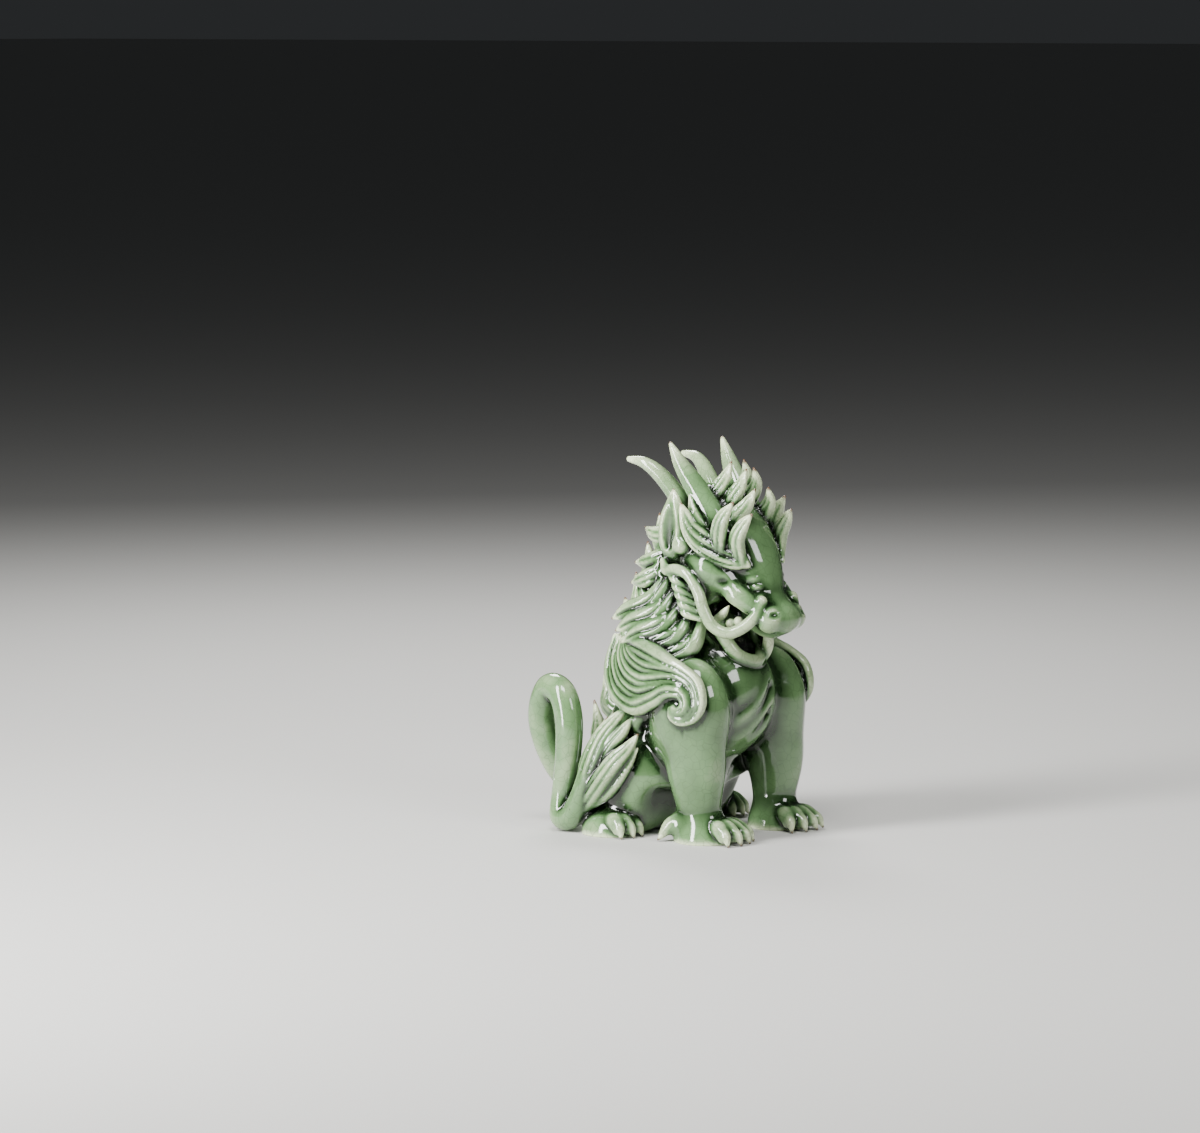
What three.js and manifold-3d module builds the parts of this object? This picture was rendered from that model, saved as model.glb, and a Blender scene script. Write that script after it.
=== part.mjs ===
// Ceramic tea pet: a seated mythical lion with horns and a looped tail, cast as one piece and glazed.
// Millimetres, +Z up. The beast looks along -Y, and its right side is -X.
import * as THREE from "three";
import { mergeVertices } from "three/addons/utils/BufferGeometryUtils.js";
import Module from "manifold-3d";

const wasm = await Module();
wasm.setup();

// Glaze
const GLAZE_COLOUR = 0x9cc3a0;
const GLAZE_ROUGHNESS = 0.15;

// Fineness of the faceted forms
const STRAND_SIDES = 4;
const STRAND_STEPS = 3;
const CORD_SIDES = 5;
const LIMB_SIDES = 10;
const LIMB_STEPS = 5;
const TAIL_SIDES = 8;
const BALL_TURNS = 12;
const BALL_RINGS = 7;
const FINEST_STEP = 0.3;
const KNOB_TURNS = 7;
const KNOB_RINGS = 4;

// Outward directions that turn the flat side of a lock
const SIDEWAYS = [-1, 0, 0];
const FORWARD = [0, -1, 0];
const UPWARD = [0, 0, 1];

// Trunk: [centre, half sizes]
const CHEST = [[0, -3, 41], [18.5, 17, 19.5]];
const BARREL = [[0, 11, 35], [19.5, 20, 22.5]];
const RUMP = [[0, 19.5, 18], [19.5, 21, 21.5]];
const SHOULDER = [[-18.5, -7, 39], [9, 12.2, 15.6]];
const HAUNCH = [[-15.5, 17, 17], [12, 17, 18]];
const BELLY_HOLLOW = [[0, -10, -2], [8.5, 17, 16.5]];
const SIDE_HOLLOW = [[-20, 3.5, 2], [14, 5, 12]];

// Neck
const NECK_PATH = [[0, 9, 47], [0, 9, 60], [0, 6, 74], [0, 0, 90]];
const NECK_WIDTH = [18, 15.5, 13.5, 11.5];
const NECK_DEPTH = [16, 14.5, 13, 10.5];

// Front leg and its paw
const LEG_PATH = [[-18.4, -6.5, 38], [-19, -9, 22], [-18.3, -9.5, 9], [-18, -10.5, -2]];
const LEG_WIDTH = [9.4, 8.2, 6.1, 7];
const LEG_DEPTH = [11.4, 9.6, 7, 8.2];
const ELBOW = [[-18, -1, 33], [7.4, 8.8, 10.6]];
const FRONT_PAW = { centre: [-17.3, -11.5], reach: 13.6, angles: [-25, -5, 15, 35], ball: [8.2, 8.6, 7.4] };
const HIND_PAW = { centre: [-25, 19.5], reach: 11.2, angles: [-30, -8, 14], ball: [6.2, 8.4, 7.2] };
const TOE_RADIUS = 2.7;
const TOE_HEIGHT = 5;
const SPUR_PATH = [[-20, -6, 5], [-23.5, -3, 4.5], [-26.3, -0.6, 0.4]];
const SPUR_RADII = [4.4, 2.4, 0.4];

// Tail: from the rump out to the right side, round a standing loop, down and up again along the haunch
const TAIL_PATH = [
  [0, 33, 9], [-9, 40, 9.6], [-16, 44, 15.5], [-20, 46.8, 25], [-22, 47, 34], [-23.6, 42.6, 41.6],
  [-24.8, 36.8, 40.4], [-25.6, 33.6, 33], [-26, 33.6, 22], [-26.5, 35, 11.4], [-27.4, 34.6, 4.6],
  [-28, 30.5, 5], [-28, 26.5, 10.5], [-27.5, 23.5, 17], [-26.5, 21, 23],
];
const TAIL_RADII = [5, 4.4, 4.1, 4.1, 4.1, 4.1, 4.2, 4.2, 3.9, 3.5, 3.9, 3.8, 3.9, 4.2, 2.4];
const TUFT_FORMS = [
  [[[-27.6, 27, 10], [-28, 25, 20], [-26, 22.6, 28], [-23.6, 20.6, 34.4]], [2, 2.7, 2.2, 0.4]],
  [[[-27.8, 26, 11], [-27.6, 17.6, 25], [-25.4, 13.6, 31], [-22.6, 11.8, 35.2]], [2, 2.7, 2.1, 0.4]],
  [[[-28, 25, 8], [-28, 17, 14], [-27, 11.5, 20.5], [-25.6, 7.6, 26.6]], [2, 2.9, 2.2, 0.4]],
  [
    [[-27.8, 26.8, 8], [-28.8, 23.9, 17], [-27.6, 20.1, 27.6], [-25.6, 16.6, 33.8], [-23, 13.4, 38.4]],
    [2.8, 3.5, 3.2, 2.2, 0.4],
  ],
  [
    [[-28, 26, 8], [-29.2, 20.6, 13.7], [-29, 13.9, 22.1], [-27.2, 10.1, 26.6], [-24.6, 8.2, 30.8]],
    [2.6, 3.4, 3.1, 2.1, 0.4],
  ],
];

// Head: crown to nose along the axis of the bowed skull
const SKULL_PATH = [[0, 3, 98], [0, -5, 91], [0, -12.5, 81], [0, -18, 71], [0, -21.5, 64]];
const SKULL_WIDTH = [6.5, 11, 11, 7.8, 6];
const SKULL_DEPTH = [5.5, 10.8, 10.4, 7.2, 5];
const CHEEK = [[-9.5, -3.5, 76], [6.2, 9.2, 9.6]];
const EYE_PATH = [[-11.6, -4, 82.6], [-12.2, -8, 80], [-11, -12, 77]];
const EYE_RADII = [3, 4, 3];
const UPPER_LIP_PATH = [[-9.6, -13, 75.4], [-9.4, -17, 72], [-7.4, -22, 68.6]];
const UPPER_LIP_RADII = [2.4, 3.6, 3.2];
const NOSTRIL = [[-5.6, -25.6, 65.2], [3.9, 3.9, 4]];
const NOSE_TIP = [[0, -26.5, 65.2], [6, 4.4, 4.4]];
const MUZZLE = [[0, -21, 66.5], [8.4, 7.6, 7]];
const JAW = [[0, -6, 60], [8.4, 8.6, 9.2]];
const MOUTH = [[0, -14, 58.2], [5, 8, 5.4]];
const MOUTH_CORNER = [[-10, -12.6, 66.4], [4.6, 6, 3.6]];
const LIP_PATH = [
  [-9, -5, 65.4], [-7.8, -10.2, 59.4], [-5.6, -13.8, 54], [0, -15.8, 51.8],
  [5.6, -13.8, 54], [7.8, -10.2, 59.4], [9, -5, 65.4],
];
const LIP_RADIUS = 2;
const BEARD_STRANDS = 3;
const BEARD_FIRST = [[4.6, -17.4, 61], [5.4, -16.6, 55.6], [5.4, -14.4, 50.6]];
const BEARD_LAST = [[8.6, -14.6, 62], [9.6, -13.4, 57], [8.8, -12.2, 51.4]];
const BEARD_RADII = [1.4, 1.9, 1];

// Horns, ears and whiskers, each mirrored
const FRONT_HORN = [
  [-8.4, -9.2, 88.4], [-8.8, -6, 96], [-10, -1.5, 103.2], [-11.5, 2.6, 109.6], [-12.4, 5.6, 115.4],
];
const FRONT_HORN_RADII = [4.6, 4.2, 3.4, 2.3, 0.7];
const BACK_HORN = [
  [-7.6, 2, 94], [-9, 6.1, 100.3], [-11, 11.2, 106.4], [-12.4, 15.6, 109.4], [-13, 20.6, 110.2],
];
const BACK_HORN_RADII = [3.4, 2.8, 2.3, 1.7, 0.9];
const EAR_PATH = [
  [-11.6, 3.6, 79.6], [-14.2, 3.8, 86], [-15, 3.2, 92.5], [-14.8, 2.6, 97.4], [-14.4, 3, 102.3],
];
const EAR_WIDTH = [2.6, 4.2, 4.2, 2.9, 0.5];
const EAR_DEPTH = [1.6, 2.5, 2.5, 1.8, 0.4];
const EAR_HOLLOW = [[-17.8, 3, 91.6], [2, 2.2, 6]];
const EAR_KNOB = [[-14.6, -0.4, 86.2], [2.5, 2.7, 2.8]];
const WHISKER_PATH = [
  [-7.4, -24, 70.6], [-9.4, -23.2, 66.4], [-11.5, -20.1, 62.9], [-13.5, -16.1, 61.3], [-15, -11.8, 63.3],
  [-15.8, -9.2, 67.9], [-16.1, -7.3, 73.3], [-16.3, -4.1, 77.7], [-16.3, 0.3, 79], [-15.8, 4.2, 78.7],
  [-15.2, 6.2, 81.3],
];
const WHISKER_RADIUS = 1.75;

// Brow: strands between a lower and an upper edge, and the flames and forelocks as [path, radii]
const BROW_STRANDS = 3;
const BROW_LOWER = [
  [-8.4, -19.6, 81], [-11, -15.8, 81.2], [-13.6, -10.6, 83.3],
  [-15.2, -5.4, 86.6], [-16.2, -2.5, 91.3], [-16.8, -1.2, 97.2],
];
const BROW_UPPER = [
  [-8.6, -18.6, 83], [-10.6, -13.6, 86.3], [-13, -8.7, 89.2],
  [-14.6, -5, 92.1], [-15.6, -3.4, 95.2], [-16.6, -1.4, 98.6],
];
const BROW_RADII = [1.2, 1.7, 1.8, 1.6, 1.3, 0.4];
const BROW_FORMS = [
  [
    [[-11.6, -11.6, 83.6], [-12.8, -12.4, 90], [-13.2, -14.2, 95], [-12.5, -17.6, 99.6]],
    [2.4, 2.8, 2.3, 0.4],
  ],
  [
    [[-9.2, -17.4, 82], [-10.4, -17.1, 87.9], [-10.5, -19.3, 92.5], [-9.5, -22.1, 96.2]],
    [2.4, 2.8, 2.2, 0.4],
  ],
  [[[-4.4, -11, 91], [-5.4, -15.5, 96.6], [-3.4, -18.4, 102.4]], [3, 3.3, 0.4]],
  [[[-3, -7.5, 96], [-3.8, -12.5, 102], [-2, -14.2, 108]], [3, 3.1, 0.4]],
  [[[-4.4, -3.5, 98], [-5.4, -8.4, 104], [-3.2, -9.6, 110.2]], [3, 3.1, 0.4]],
];

// Mane: a fan of locks between an upper and a lower edge, [start of fan, middle, end of fan]
const MANE_LOCKS = 5;
const MANE_ROOTS = [[-13, 5.6, 76.4], [-14.5, 1, 68.5], [-11, -4.8, 65]];
const MANE_BENDS = [[-17.8, 8.2, 69.5], [-19.6, 3, 63], [-16.4, -5.2, 57.6]];
const MANE_TRAILS = [[-20, 15, 66.4], [-22, 9.5, 60.4], [-20, -1.5, 54.6]];
const MANE_TIPS = [[-20, 21.6, 63.4], [-21.4, 17, 57], [-22, 5.6, 53]];
const MANE_RADII = [2.2, 3.5, 3, 0.4];

// Pleats of the cheek frill, one below the other
const PLEATS = 4;
const PLEAT_TOP = [[-13, 3.6, 78.2], [-16.4, 0.8, 76.2], [-15.2, -4, 73.8]];
const PLEAT_STEP = [[0, -1.2, -3], [0, -1.3, -3.1], [0, -1.2, -2.9]];
const PLEAT_RADII = [1.2, 1.8, 1.1];

// Nape locks, mirrored: [path, radii]
const NAPE_FORMS = [
  [[[-8, 6, 88], [-8.6, 14, 88], [-5.4, 20.6, 89.4]], [3, 2.6, 0.4]],
  [[[-10, 6, 83], [-12.4, 12.6, 80.4], [-10.6, 20.4, 79.4]], [3, 3, 0.4]],
  [[[-12, 6, 79], [-14.8, 13, 75.4], [-13.2, 19.8, 73.6]], [3, 2.8, 0.4]],
  [[[-10.4, 10, 66], [-13.2, 14.6, 69.4], [-12, 17.6, 74.4]], [2.6, 2.8, 0.4]],
  [[[-9, 16, 61], [-11.4, 21.4, 63.4], [-10.4, 24.4, 68.6]], [2.6, 2.6, 0.4]],
];

// Rows of locks that hang down the back of the head and neck, from the lowest row up
const BACK_ROWS = 3;
const BACK_AXIS = [[0, 1, 93], [0, 6, 80], [0, 9, 64], [0, 10, 54]];
const BACK_REACH = [9, 11.5, 13.5, 15];
const BACK_ANGLES = [34, 84];
const BACK_LENGTH = 17;
const BACK_LIFT = 3.4;
const BACK_RADII = [3.2, 4.2, 3.2, 0.5];

// Crest leaves down the middle of the back: foot and tip run from the first leaf to the last
const CREST_LEAVES = 7;
const CREST_FEET = [[0, 12, 82], [0, 20, 62], [0, 28, 43], [0, 35, 19]];
const CREST_TIPS = [[0, 19.5, 93], [0, 28.5, 75], [0, 36.4, 54], [0, 44.6, 35]];
const CREST_BULGE = [0, 3.4, -1.6];
const CREST_RADII = [3, 3.6, 2.5, 0.4];

// Shoulder scroll, laid out in side view as [y, z]: strands that flow between a lower and an upper edge and
// then wind into a spiral, whose first and last radius belong to the inner and the outer strand
const SCROLL_STRANDS = 4;
const SCROLL_LOWER = [[24.4, 57], [23.6, 48.5], [17.7, 42], [8.8, 39.4], [0.5, 42], [-4.4, 44.6]];
const SCROLL_UPPER = [[15, 57], [11, 56.6], [7, 56], [3, 55], [-1, 53.8], [-4.8, 52.6]];
const SPIRAL_CENTRE = [-8.6, 41.2];
const SPIRAL_RADII = [3.8, 10.3];
const SPIRAL_SHRINK = 0.56;
const SPIRAL_TURNS = [20, 75, 130, 190, 240];
const SCROLL_RADII = [1.6, 3, 3.4, 3.2, 2.8, 2.4, 2, 1.8, 1.6, 1.3, 0.6];
const CAPE_REACH = 26;
const CAPE_CROWN = [-6, 42];
const CAPE_FALL = [0.011, 0.0125];
const SCROLL_PROUD = 1.2;
const ELBOW_CURL = [[-19, 7.6, 36.6], [-21, 10.6, 35], [-21, 11.6, 32], [-20, 9.6, 30.4]];
const ELBOW_RADII = [2, 2.3, 1.9, 0.6];

// Half-space under the soles
const FLOOR_SLAB = [400, 400, 100];

// A closed body made from rings of points, each end closed on a point of its own.
function bodyFromRings(rings, first, last) {
  const sides = rings[0].length;
  const points = [first, ...rings.flat(), last];
  const at = (ring, side) => 1 + ring * sides + (side % sides);
  const faces = [];
  for (let side = 0; side < sides; side++) {
    faces.push(0, at(0, side + 1), at(0, side));
    for (let ring = 0; ring + 1 < rings.length; ring++) {
      faces.push(at(ring, side), at(ring, side + 1), at(ring + 1, side + 1));
      faces.push(at(ring, side), at(ring + 1, side + 1), at(ring + 1, side));
    }
    faces.push(points.length - 1, at(rings.length - 1, side), at(rings.length - 1, side + 1));
  }
  const geometry = new THREE.BufferGeometry().setFromPoints(points);
  geometry.setIndex(faces);
  return solidFrom(geometry);
}

// A three.js geometry as a solid that can be joined and cut.
function solidFrom(geometry) {
  geometry.deleteAttribute("normal");
  geometry.deleteAttribute("uv");
  const merged = mergeVertices(geometry);
  return new wasm.Manifold(
    new wasm.Mesh({
      numProp: 3,
      vertProperties: new Float32Array(merged.attributes.position.array),
      triVerts: new Uint32Array(merged.index.array),
    }),
  );
}

// A value list read at a place from 0 to 1 along it, smoothly.
function readAt(values, place) {
  const curve = new THREE.SplineCurve(values.map((value, index) => new THREE.Vector2(index, value)));
  return Math.max(curve.getPoint(place).y, Math.min(...values));
}

// A form whose oval section is carried along a smooth path; outward is the thin direction of the section.
function stroke(path, width, depth, outward, sides, leastSteps) {
  const points = path.map((point) => new THREE.Vector3(...point));
  const curve = new THREE.CatmullRomCurve3(points, false, "centripetal");
  const facing = new THREE.Vector3(...outward);
  const steps = Math.max(leastSteps, path.length);
  const rings = [];
  for (let step = 0; step <= steps; step++) {
    const place = step / steps;
    const centre = curve.getPoint(place);
    const along = curve.getTangent(place);
    const thin = facing.clone().addScaledVector(along, -along.dot(facing)).normalize();
    const wide = new THREE.Vector3().crossVectors(thin, along);
    const ring = [];
    for (let side = 0; side < sides; side++) {
      const angle = (2 * Math.PI * side) / sides;
      ring.push(
        centre
          .clone()
          .addScaledVector(wide, readAt(width, place) * Math.cos(angle))
          .addScaledVector(thin, readAt(depth, place) * Math.sin(angle)),
      );
    }
    rings.push(ring);
  }
  const overshoot = (end, sign) => {
    const reach = 0.4 * Math.min(readAt(width, end), readAt(depth, end));
    return curve.getPoint(end).addScaledVector(curve.getTangent(end), sign * reach);
  };
  return bodyFromRings(rings, overshoot(0, -1), overshoot(1, 1));
}

function lock(path, radii, outward = SIDEWAYS) {
  return stroke(path, radii, radii.map((radius) => radius * 0.85), outward, STRAND_SIDES, STRAND_STEPS);
}

// A round strand, which a lock isn't.
function cord(path, radii, outward = SIDEWAYS) {
  return stroke(path, radii, radii, outward, CORD_SIDES, STRAND_STEPS);
}

function ball([centre, halfSizes], turns = BALL_TURNS, rings = BALL_RINGS) {
  const geometry = new THREE.SphereGeometry(1, turns, rings);
  geometry.scale(...halfSizes);
  geometry.translate(...centre);
  return solidFrom(geometry);
}

function knob(form) {
  return ball(form, KNOB_TURNS, KNOB_RINGS);
}

// The same form on the other side of the beast.
function mirroredPoint([x, y, z]) {
  return [-x, y, z];
}

function onBothSides(make, path, ...rest) {
  return [make(path, ...rest), make(path.map(mirroredPoint), ...rest)];
}

function ballOnBothSides(form, make = knob) {
  const [centre, halfSizes] = form;
  return [make(form), make([mirroredPoint(centre), halfSizes])];
}

// A point at a place from 0 to 1 on the smooth curve through three or more points.
function pointOn(points, place) {
  const curve = new THREE.CatmullRomCurve3(points.map((point) => new THREE.Vector3(...point)));
  return curve.getPoint(place).toArray();
}

// A path at a share of the way from one edge to another.
function pathBetween(first, last, share) {
  return first.map((point, at) => point.map((value, axis) => value + share * (last[at][axis] - value)));
}

// The paths of evenly spaced strands between two edges.
function strandsBetween(first, last, count) {
  return Array.from({ length: count }, (_, index) => pathBetween(first, last, index / (count - 1)));
}

function joined(solids) {
  return solids.reduce((whole, solid) => whole.add(solid));
}

function trunk() {
  const solids = [CHEST, BARREL, RUMP].map((form) => ball(form));
  solids.push(...ballOnBothSides(SHOULDER, ball));
  solids.push(...ballOnBothSides(HAUNCH, ball));
  solids.push(stroke(NECK_PATH, NECK_DEPTH, NECK_WIDTH, SIDEWAYS, LIMB_SIDES, LIMB_STEPS));
  const body = joined(solids);
  const hollows = [ball(BELLY_HOLLOW), ...ballOnBothSides(SIDE_HOLLOW)];
  return body.subtract(joined(hollows));
}

// One toe: from the ball of the paw over the knuckle and down to the tip of the claw.
function toe(paw, angle) {
  const turn = THREE.MathUtils.degToRad(angle);
  const at = (share, height) => [
    paw.centre[0] + share * paw.reach * Math.sin(turn),
    paw.centre[1] - share * paw.reach * Math.cos(turn),
    height,
  ];
  const path = [at(0.25, TOE_HEIGHT), at(0.62, TOE_HEIGHT), at(0.86, TOE_HEIGHT * 0.55), at(1, 0)];
  const radii = [TOE_RADIUS, TOE_RADIUS, TOE_RADIUS * 0.72, 0.3];
  return { path, radii };
}

function paw(form) {
  const [x, y] = form.centre;
  const solids = ballOnBothSides([[x, y, 0.6], form.ball]);
  for (const angle of form.angles) {
    const { path, radii } = toe(form, angle);
    solids.push(...onBothSides(cord, path, radii, UPWARD));
  }
  return solids;
}

function legs() {
  return [
    ...onBothSides(stroke, LEG_PATH, LEG_DEPTH, LEG_WIDTH, SIDEWAYS, LIMB_SIDES, LIMB_STEPS),
    ...ballOnBothSides(ELBOW, ball),
    ...onBothSides(lock, SPUR_PATH, SPUR_RADII),
    ...paw(FRONT_PAW),
    ...paw(HIND_PAW),
  ];
}

function tail() {
  const loop = stroke(TAIL_PATH, TAIL_RADII, TAIL_RADII, SIDEWAYS, TAIL_SIDES, LIMB_STEPS);
  return [loop, ...TUFT_FORMS.map(([path, radii]) => lock(path, radii))];
}

function head() {
  const skull = stroke(SKULL_PATH, SKULL_DEPTH, SKULL_WIDTH, SIDEWAYS, LIMB_SIDES, LIMB_STEPS);
  const solids = [skull, ball(MUZZLE), knob(NOSE_TIP), knob(JAW)];
  solids.push(...ballOnBothSides(CHEEK), ...ballOnBothSides(NOSTRIL));
  solids.push(...onBothSides(cord, EYE_PATH, EYE_RADII));
  solids.push(...onBothSides(cord, UPPER_LIP_PATH, UPPER_LIP_RADII));
  const hollowed = joined(solids).subtract(joined([knob(MOUTH), ...ballOnBothSides(MOUTH_CORNER)]));
  const lip = cord(LIP_PATH, LIP_PATH.map(() => LIP_RADIUS), FORWARD);
  const beard = strandsBetween(BEARD_FIRST, BEARD_LAST, BEARD_STRANDS).map((path) => lock(path, BEARD_RADII));
  return [hollowed, lip, ...beard];
}

function ears() {
  return onBothSides(stroke, EAR_PATH, EAR_WIDTH, EAR_DEPTH, SIDEWAYS, CORD_SIDES, LIMB_STEPS).concat(
    ballOnBothSides(EAR_KNOB),
  );
}

function hornsAndWhiskers() {
  return [
    ...onBothSides(cord, FRONT_HORN, FRONT_HORN_RADII),
    ...onBothSides(cord, BACK_HORN, BACK_HORN_RADII),
    ...onBothSides(cord, WHISKER_PATH, WHISKER_PATH.map(() => WHISKER_RADIUS)),
  ];
}

function brow() {
  const strands = strandsBetween(BROW_LOWER, BROW_UPPER, BROW_STRANDS);
  return [
    ...strands.flatMap((path) => onBothSides(lock, path, BROW_RADII)),
    ...BROW_FORMS.flatMap(([path, radii]) => onBothSides(lock, path, radii)),
  ];
}

function mane() {
  const solids = [];
  for (let index = 0; index < MANE_LOCKS; index++) {
    const place = index / (MANE_LOCKS - 1);
    const path = [MANE_ROOTS, MANE_BENDS, MANE_TRAILS, MANE_TIPS].map((edge) => pointOn(edge, place));
    solids.push(...onBothSides(lock, path, MANE_RADII));
  }
  for (let index = 0; index < PLEATS; index++) {
    const lower = (point, at) => point.map((value, axis) => value + index * PLEAT_STEP[at][axis]);
    const path = PLEAT_TOP.map(lower);
    solids.push(...onBothSides(lock, path, PLEAT_RADII));
  }
  for (const [path, radii] of NAPE_FORMS) {
    solids.push(...onBothSides(lock, path, radii));
  }
  return solids;
}

// Locks down the back: every second row is turned by half the step between two angles.
function backLocks() {
  const solids = [];
  for (let row = 0; row < BACK_ROWS; row++) {
    const place = 1 - row / (BACK_ROWS - 1);
    const [x, y, z] = pointOn(BACK_AXIS, place);
    const reach = readAt(BACK_REACH, place);
    for (const angle of BACK_ANGLES) {
      const turn = THREE.MathUtils.degToRad(angle - ((row % 2) * (BACK_ANGLES[1] - BACK_ANGLES[0])) / 2);
      const out = [-Math.sin(turn), Math.cos(turn), 0];
      const at = (lift, drop) => [x + out[0] * (reach + lift), y + out[1] * (reach + lift), z - drop];
      const path = [
        at(-1, 0),
        at(BACK_LIFT / 2, BACK_LENGTH / 3),
        at(BACK_LIFT / 2, BACK_LENGTH * 0.7),
        at(BACK_LIFT, BACK_LENGTH),
      ];
      solids.push(lock(path, BACK_RADII, out), lock(path.map(mirroredPoint), BACK_RADII, mirroredPoint(out)));
    }
  }
  return solids;
}

function crest() {
  const solids = [];
  for (let index = 0; index < CREST_LEAVES; index++) {
    const place = index / (CREST_LEAVES - 1);
    const foot = pointOn(CREST_FEET, place);
    const tip = pointOn(CREST_TIPS, place);
    const at = (share, bulge) =>
      foot.map((value, axis) => value + share * (tip[axis] - value) + bulge * CREST_BULGE[axis]);
    solids.push(lock([foot, at(1 / 3, 1), at(2 / 3, 0.5), tip], CREST_RADII));
  }
  return solids;
}

// How far out the scroll lies at a place in side view: on the shoulder, or on the cape of hair behind it.
function scrollReach(y, z) {
  const [middle, half] = SHOULDER;
  const rise = 1 - ((y - middle[1]) / half[1]) ** 2 - ((z - middle[2]) / half[2]) ** 2;
  const onShoulder = -middle[0] + half[0] * Math.sqrt(Math.max(rise, 0));
  const cape = CAPE_REACH - CAPE_FALL[0] * (y - CAPE_CROWN[0]) ** 2 - CAPE_FALL[1] * (z - CAPE_CROWN[1]) ** 2;
  return Math.max(rise > 0 ? onShoulder : 0, cape) + SCROLL_PROUD;
}

function shoulderScrolls() {
  const solids = [];
  for (let index = 0; index < SCROLL_STRANDS; index++) {
    const share = index / (SCROLL_STRANDS - 1);
    const flat = pathBetween(SCROLL_LOWER, SCROLL_UPPER, share);
    const wide = SPIRAL_RADII[0] + share * (SPIRAL_RADII[1] - SPIRAL_RADII[0]);
    for (const turn of SPIRAL_TURNS) {
      const reach = wide * (1 - (SPIRAL_SHRINK * turn) / 180);
      const angle = THREE.MathUtils.degToRad(turn);
      flat.push([SPIRAL_CENTRE[0] - reach * Math.sin(angle), SPIRAL_CENTRE[1] + reach * Math.cos(angle)]);
    }
    solids.push(...onBothSides(lock, flat.map(([y, z]) => [-scrollReach(y, z), y, z]), SCROLL_RADII));
  }
  solids.push(...onBothSides(lock, ELBOW_CURL, ELBOW_RADII));
  return solids;
}

// The beast as one body, cut flat where it stands.
function beast() {
  const whole = joined([
    trunk(),
    ...legs(),
    ...tail(),
    ...head(),
    ...ears(),
    ...hornsAndWhiskers(),
    ...brow(),
    ...mane(),
    ...backLocks(),
    ...crest(),
    ...shoulderScrolls(),
  ]);
  const slab = new THREE.BoxGeometry(...FLOOR_SLAB);
  slab.translate(0, 0, -FLOOR_SLAB[2] / 2);
  const cut = whole.subtract(solidFrom(slab)).subtract(joined(ballOnBothSides(EAR_HOLLOW)));
  return outerBody(cut);
}

// The casting is solid, so spaces closed in between its forms are filled: only the outer skin is kept,
// without slivers finer than the glaze would show.
function outerBody(solid) {
  const bodies = solid.asOriginal().simplify(FINEST_STEP).decompose();
  return bodies.reduce((most, body) => (body.volume() > most.volume() ? body : most));
}

// The finished solid as a mesh, with its origin under the middle of its bounding box.
function meshOf(solid, name) {
  const { vertProperties, triVerts } = solid.getMesh();
  const geometry = new THREE.BufferGeometry();
  geometry.setAttribute("position", new THREE.BufferAttribute(vertProperties, 3));
  geometry.setIndex(new THREE.BufferAttribute(triVerts, 1));
  geometry.computeBoundingBox();
  const middle = geometry.boundingBox.getCenter(new THREE.Vector3());
  geometry.translate(-middle.x, -middle.y, -geometry.boundingBox.min.z);
  geometry.computeVertexNormals();
  const look = { color: GLAZE_COLOUR, roughness: GLAZE_ROUGHNESS, metalness: 0 };
  const mesh = new THREE.Mesh(geometry, new THREE.MeshStandardMaterial(look));
  mesh.name = name;
  return mesh;
}

const teaPet = new THREE.Group();
teaPet.add(meshOf(beast(), "tea_pet"));

export default teaPet;
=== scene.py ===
"""Celadon-glazed ceramic tea pet: a seated mythical lion with horns, mane, whiskers and a looped tail.

The figure is one slip casting whose forms melt into each other under the glaze, so no patch or swept
surface alone gives its skin. Each form is a distance worked out with numpy on one grid: an oval ball, or
an oval section carried along a smooth path. They are joined with fillets, and the skin is the surface
where the joined distance is nought. The figure is modelled in millimetres, looks along -Y with its right
side on -X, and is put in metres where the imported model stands.
"""

from __future__ import annotations

import logging
from dataclasses import dataclass, field, replace
from enum import Enum
from typing import Sequence

import bpy
import numpy as np
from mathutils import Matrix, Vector

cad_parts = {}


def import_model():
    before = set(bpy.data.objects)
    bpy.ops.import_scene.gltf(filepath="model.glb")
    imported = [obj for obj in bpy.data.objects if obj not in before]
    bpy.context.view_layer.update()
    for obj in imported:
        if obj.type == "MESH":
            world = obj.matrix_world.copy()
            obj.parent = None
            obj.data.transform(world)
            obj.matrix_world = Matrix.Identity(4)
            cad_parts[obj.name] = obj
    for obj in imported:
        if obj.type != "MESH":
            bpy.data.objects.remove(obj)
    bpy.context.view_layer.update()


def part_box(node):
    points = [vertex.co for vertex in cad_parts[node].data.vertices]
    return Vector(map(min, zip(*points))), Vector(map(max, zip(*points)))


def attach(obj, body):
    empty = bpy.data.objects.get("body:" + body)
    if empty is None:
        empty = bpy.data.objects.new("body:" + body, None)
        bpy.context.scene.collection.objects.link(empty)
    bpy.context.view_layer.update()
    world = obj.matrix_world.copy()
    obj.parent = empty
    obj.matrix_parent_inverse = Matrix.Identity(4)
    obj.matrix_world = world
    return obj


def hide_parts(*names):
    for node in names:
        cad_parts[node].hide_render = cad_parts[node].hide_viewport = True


Triple = tuple[float, float, float]

LOG = logging.getLogger("tea_pet")
NODE = "tea_pet"
MM = 0.001
TRIANGLE_LIMIT = 195_000
# Glaze thickness with painted shade in the hollows, written on each point
GLAZE_AND_SHADE = "glaze_pooling_and_painted_shade"
BARE_CLAY = "bare_clay"

# Steps into which an edge's whole curve is cut when one place on it is read
CURVE_STEPS = 200
# In millimetres, the half width under which a stroke's grooves fade out
NARROWEST_GROOVED = 0.6
# Keeps a division from going by nought
TINY = 1e-6


class Fillet(Enum):
    """How far two forms melt together, in millimetres."""

    BODY = 7.0
    LIMB = 4.0
    FEATURE = 2.2
    SOFT = 1.2
    LOCK = 0.7
    CRISP = 0.35


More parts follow.
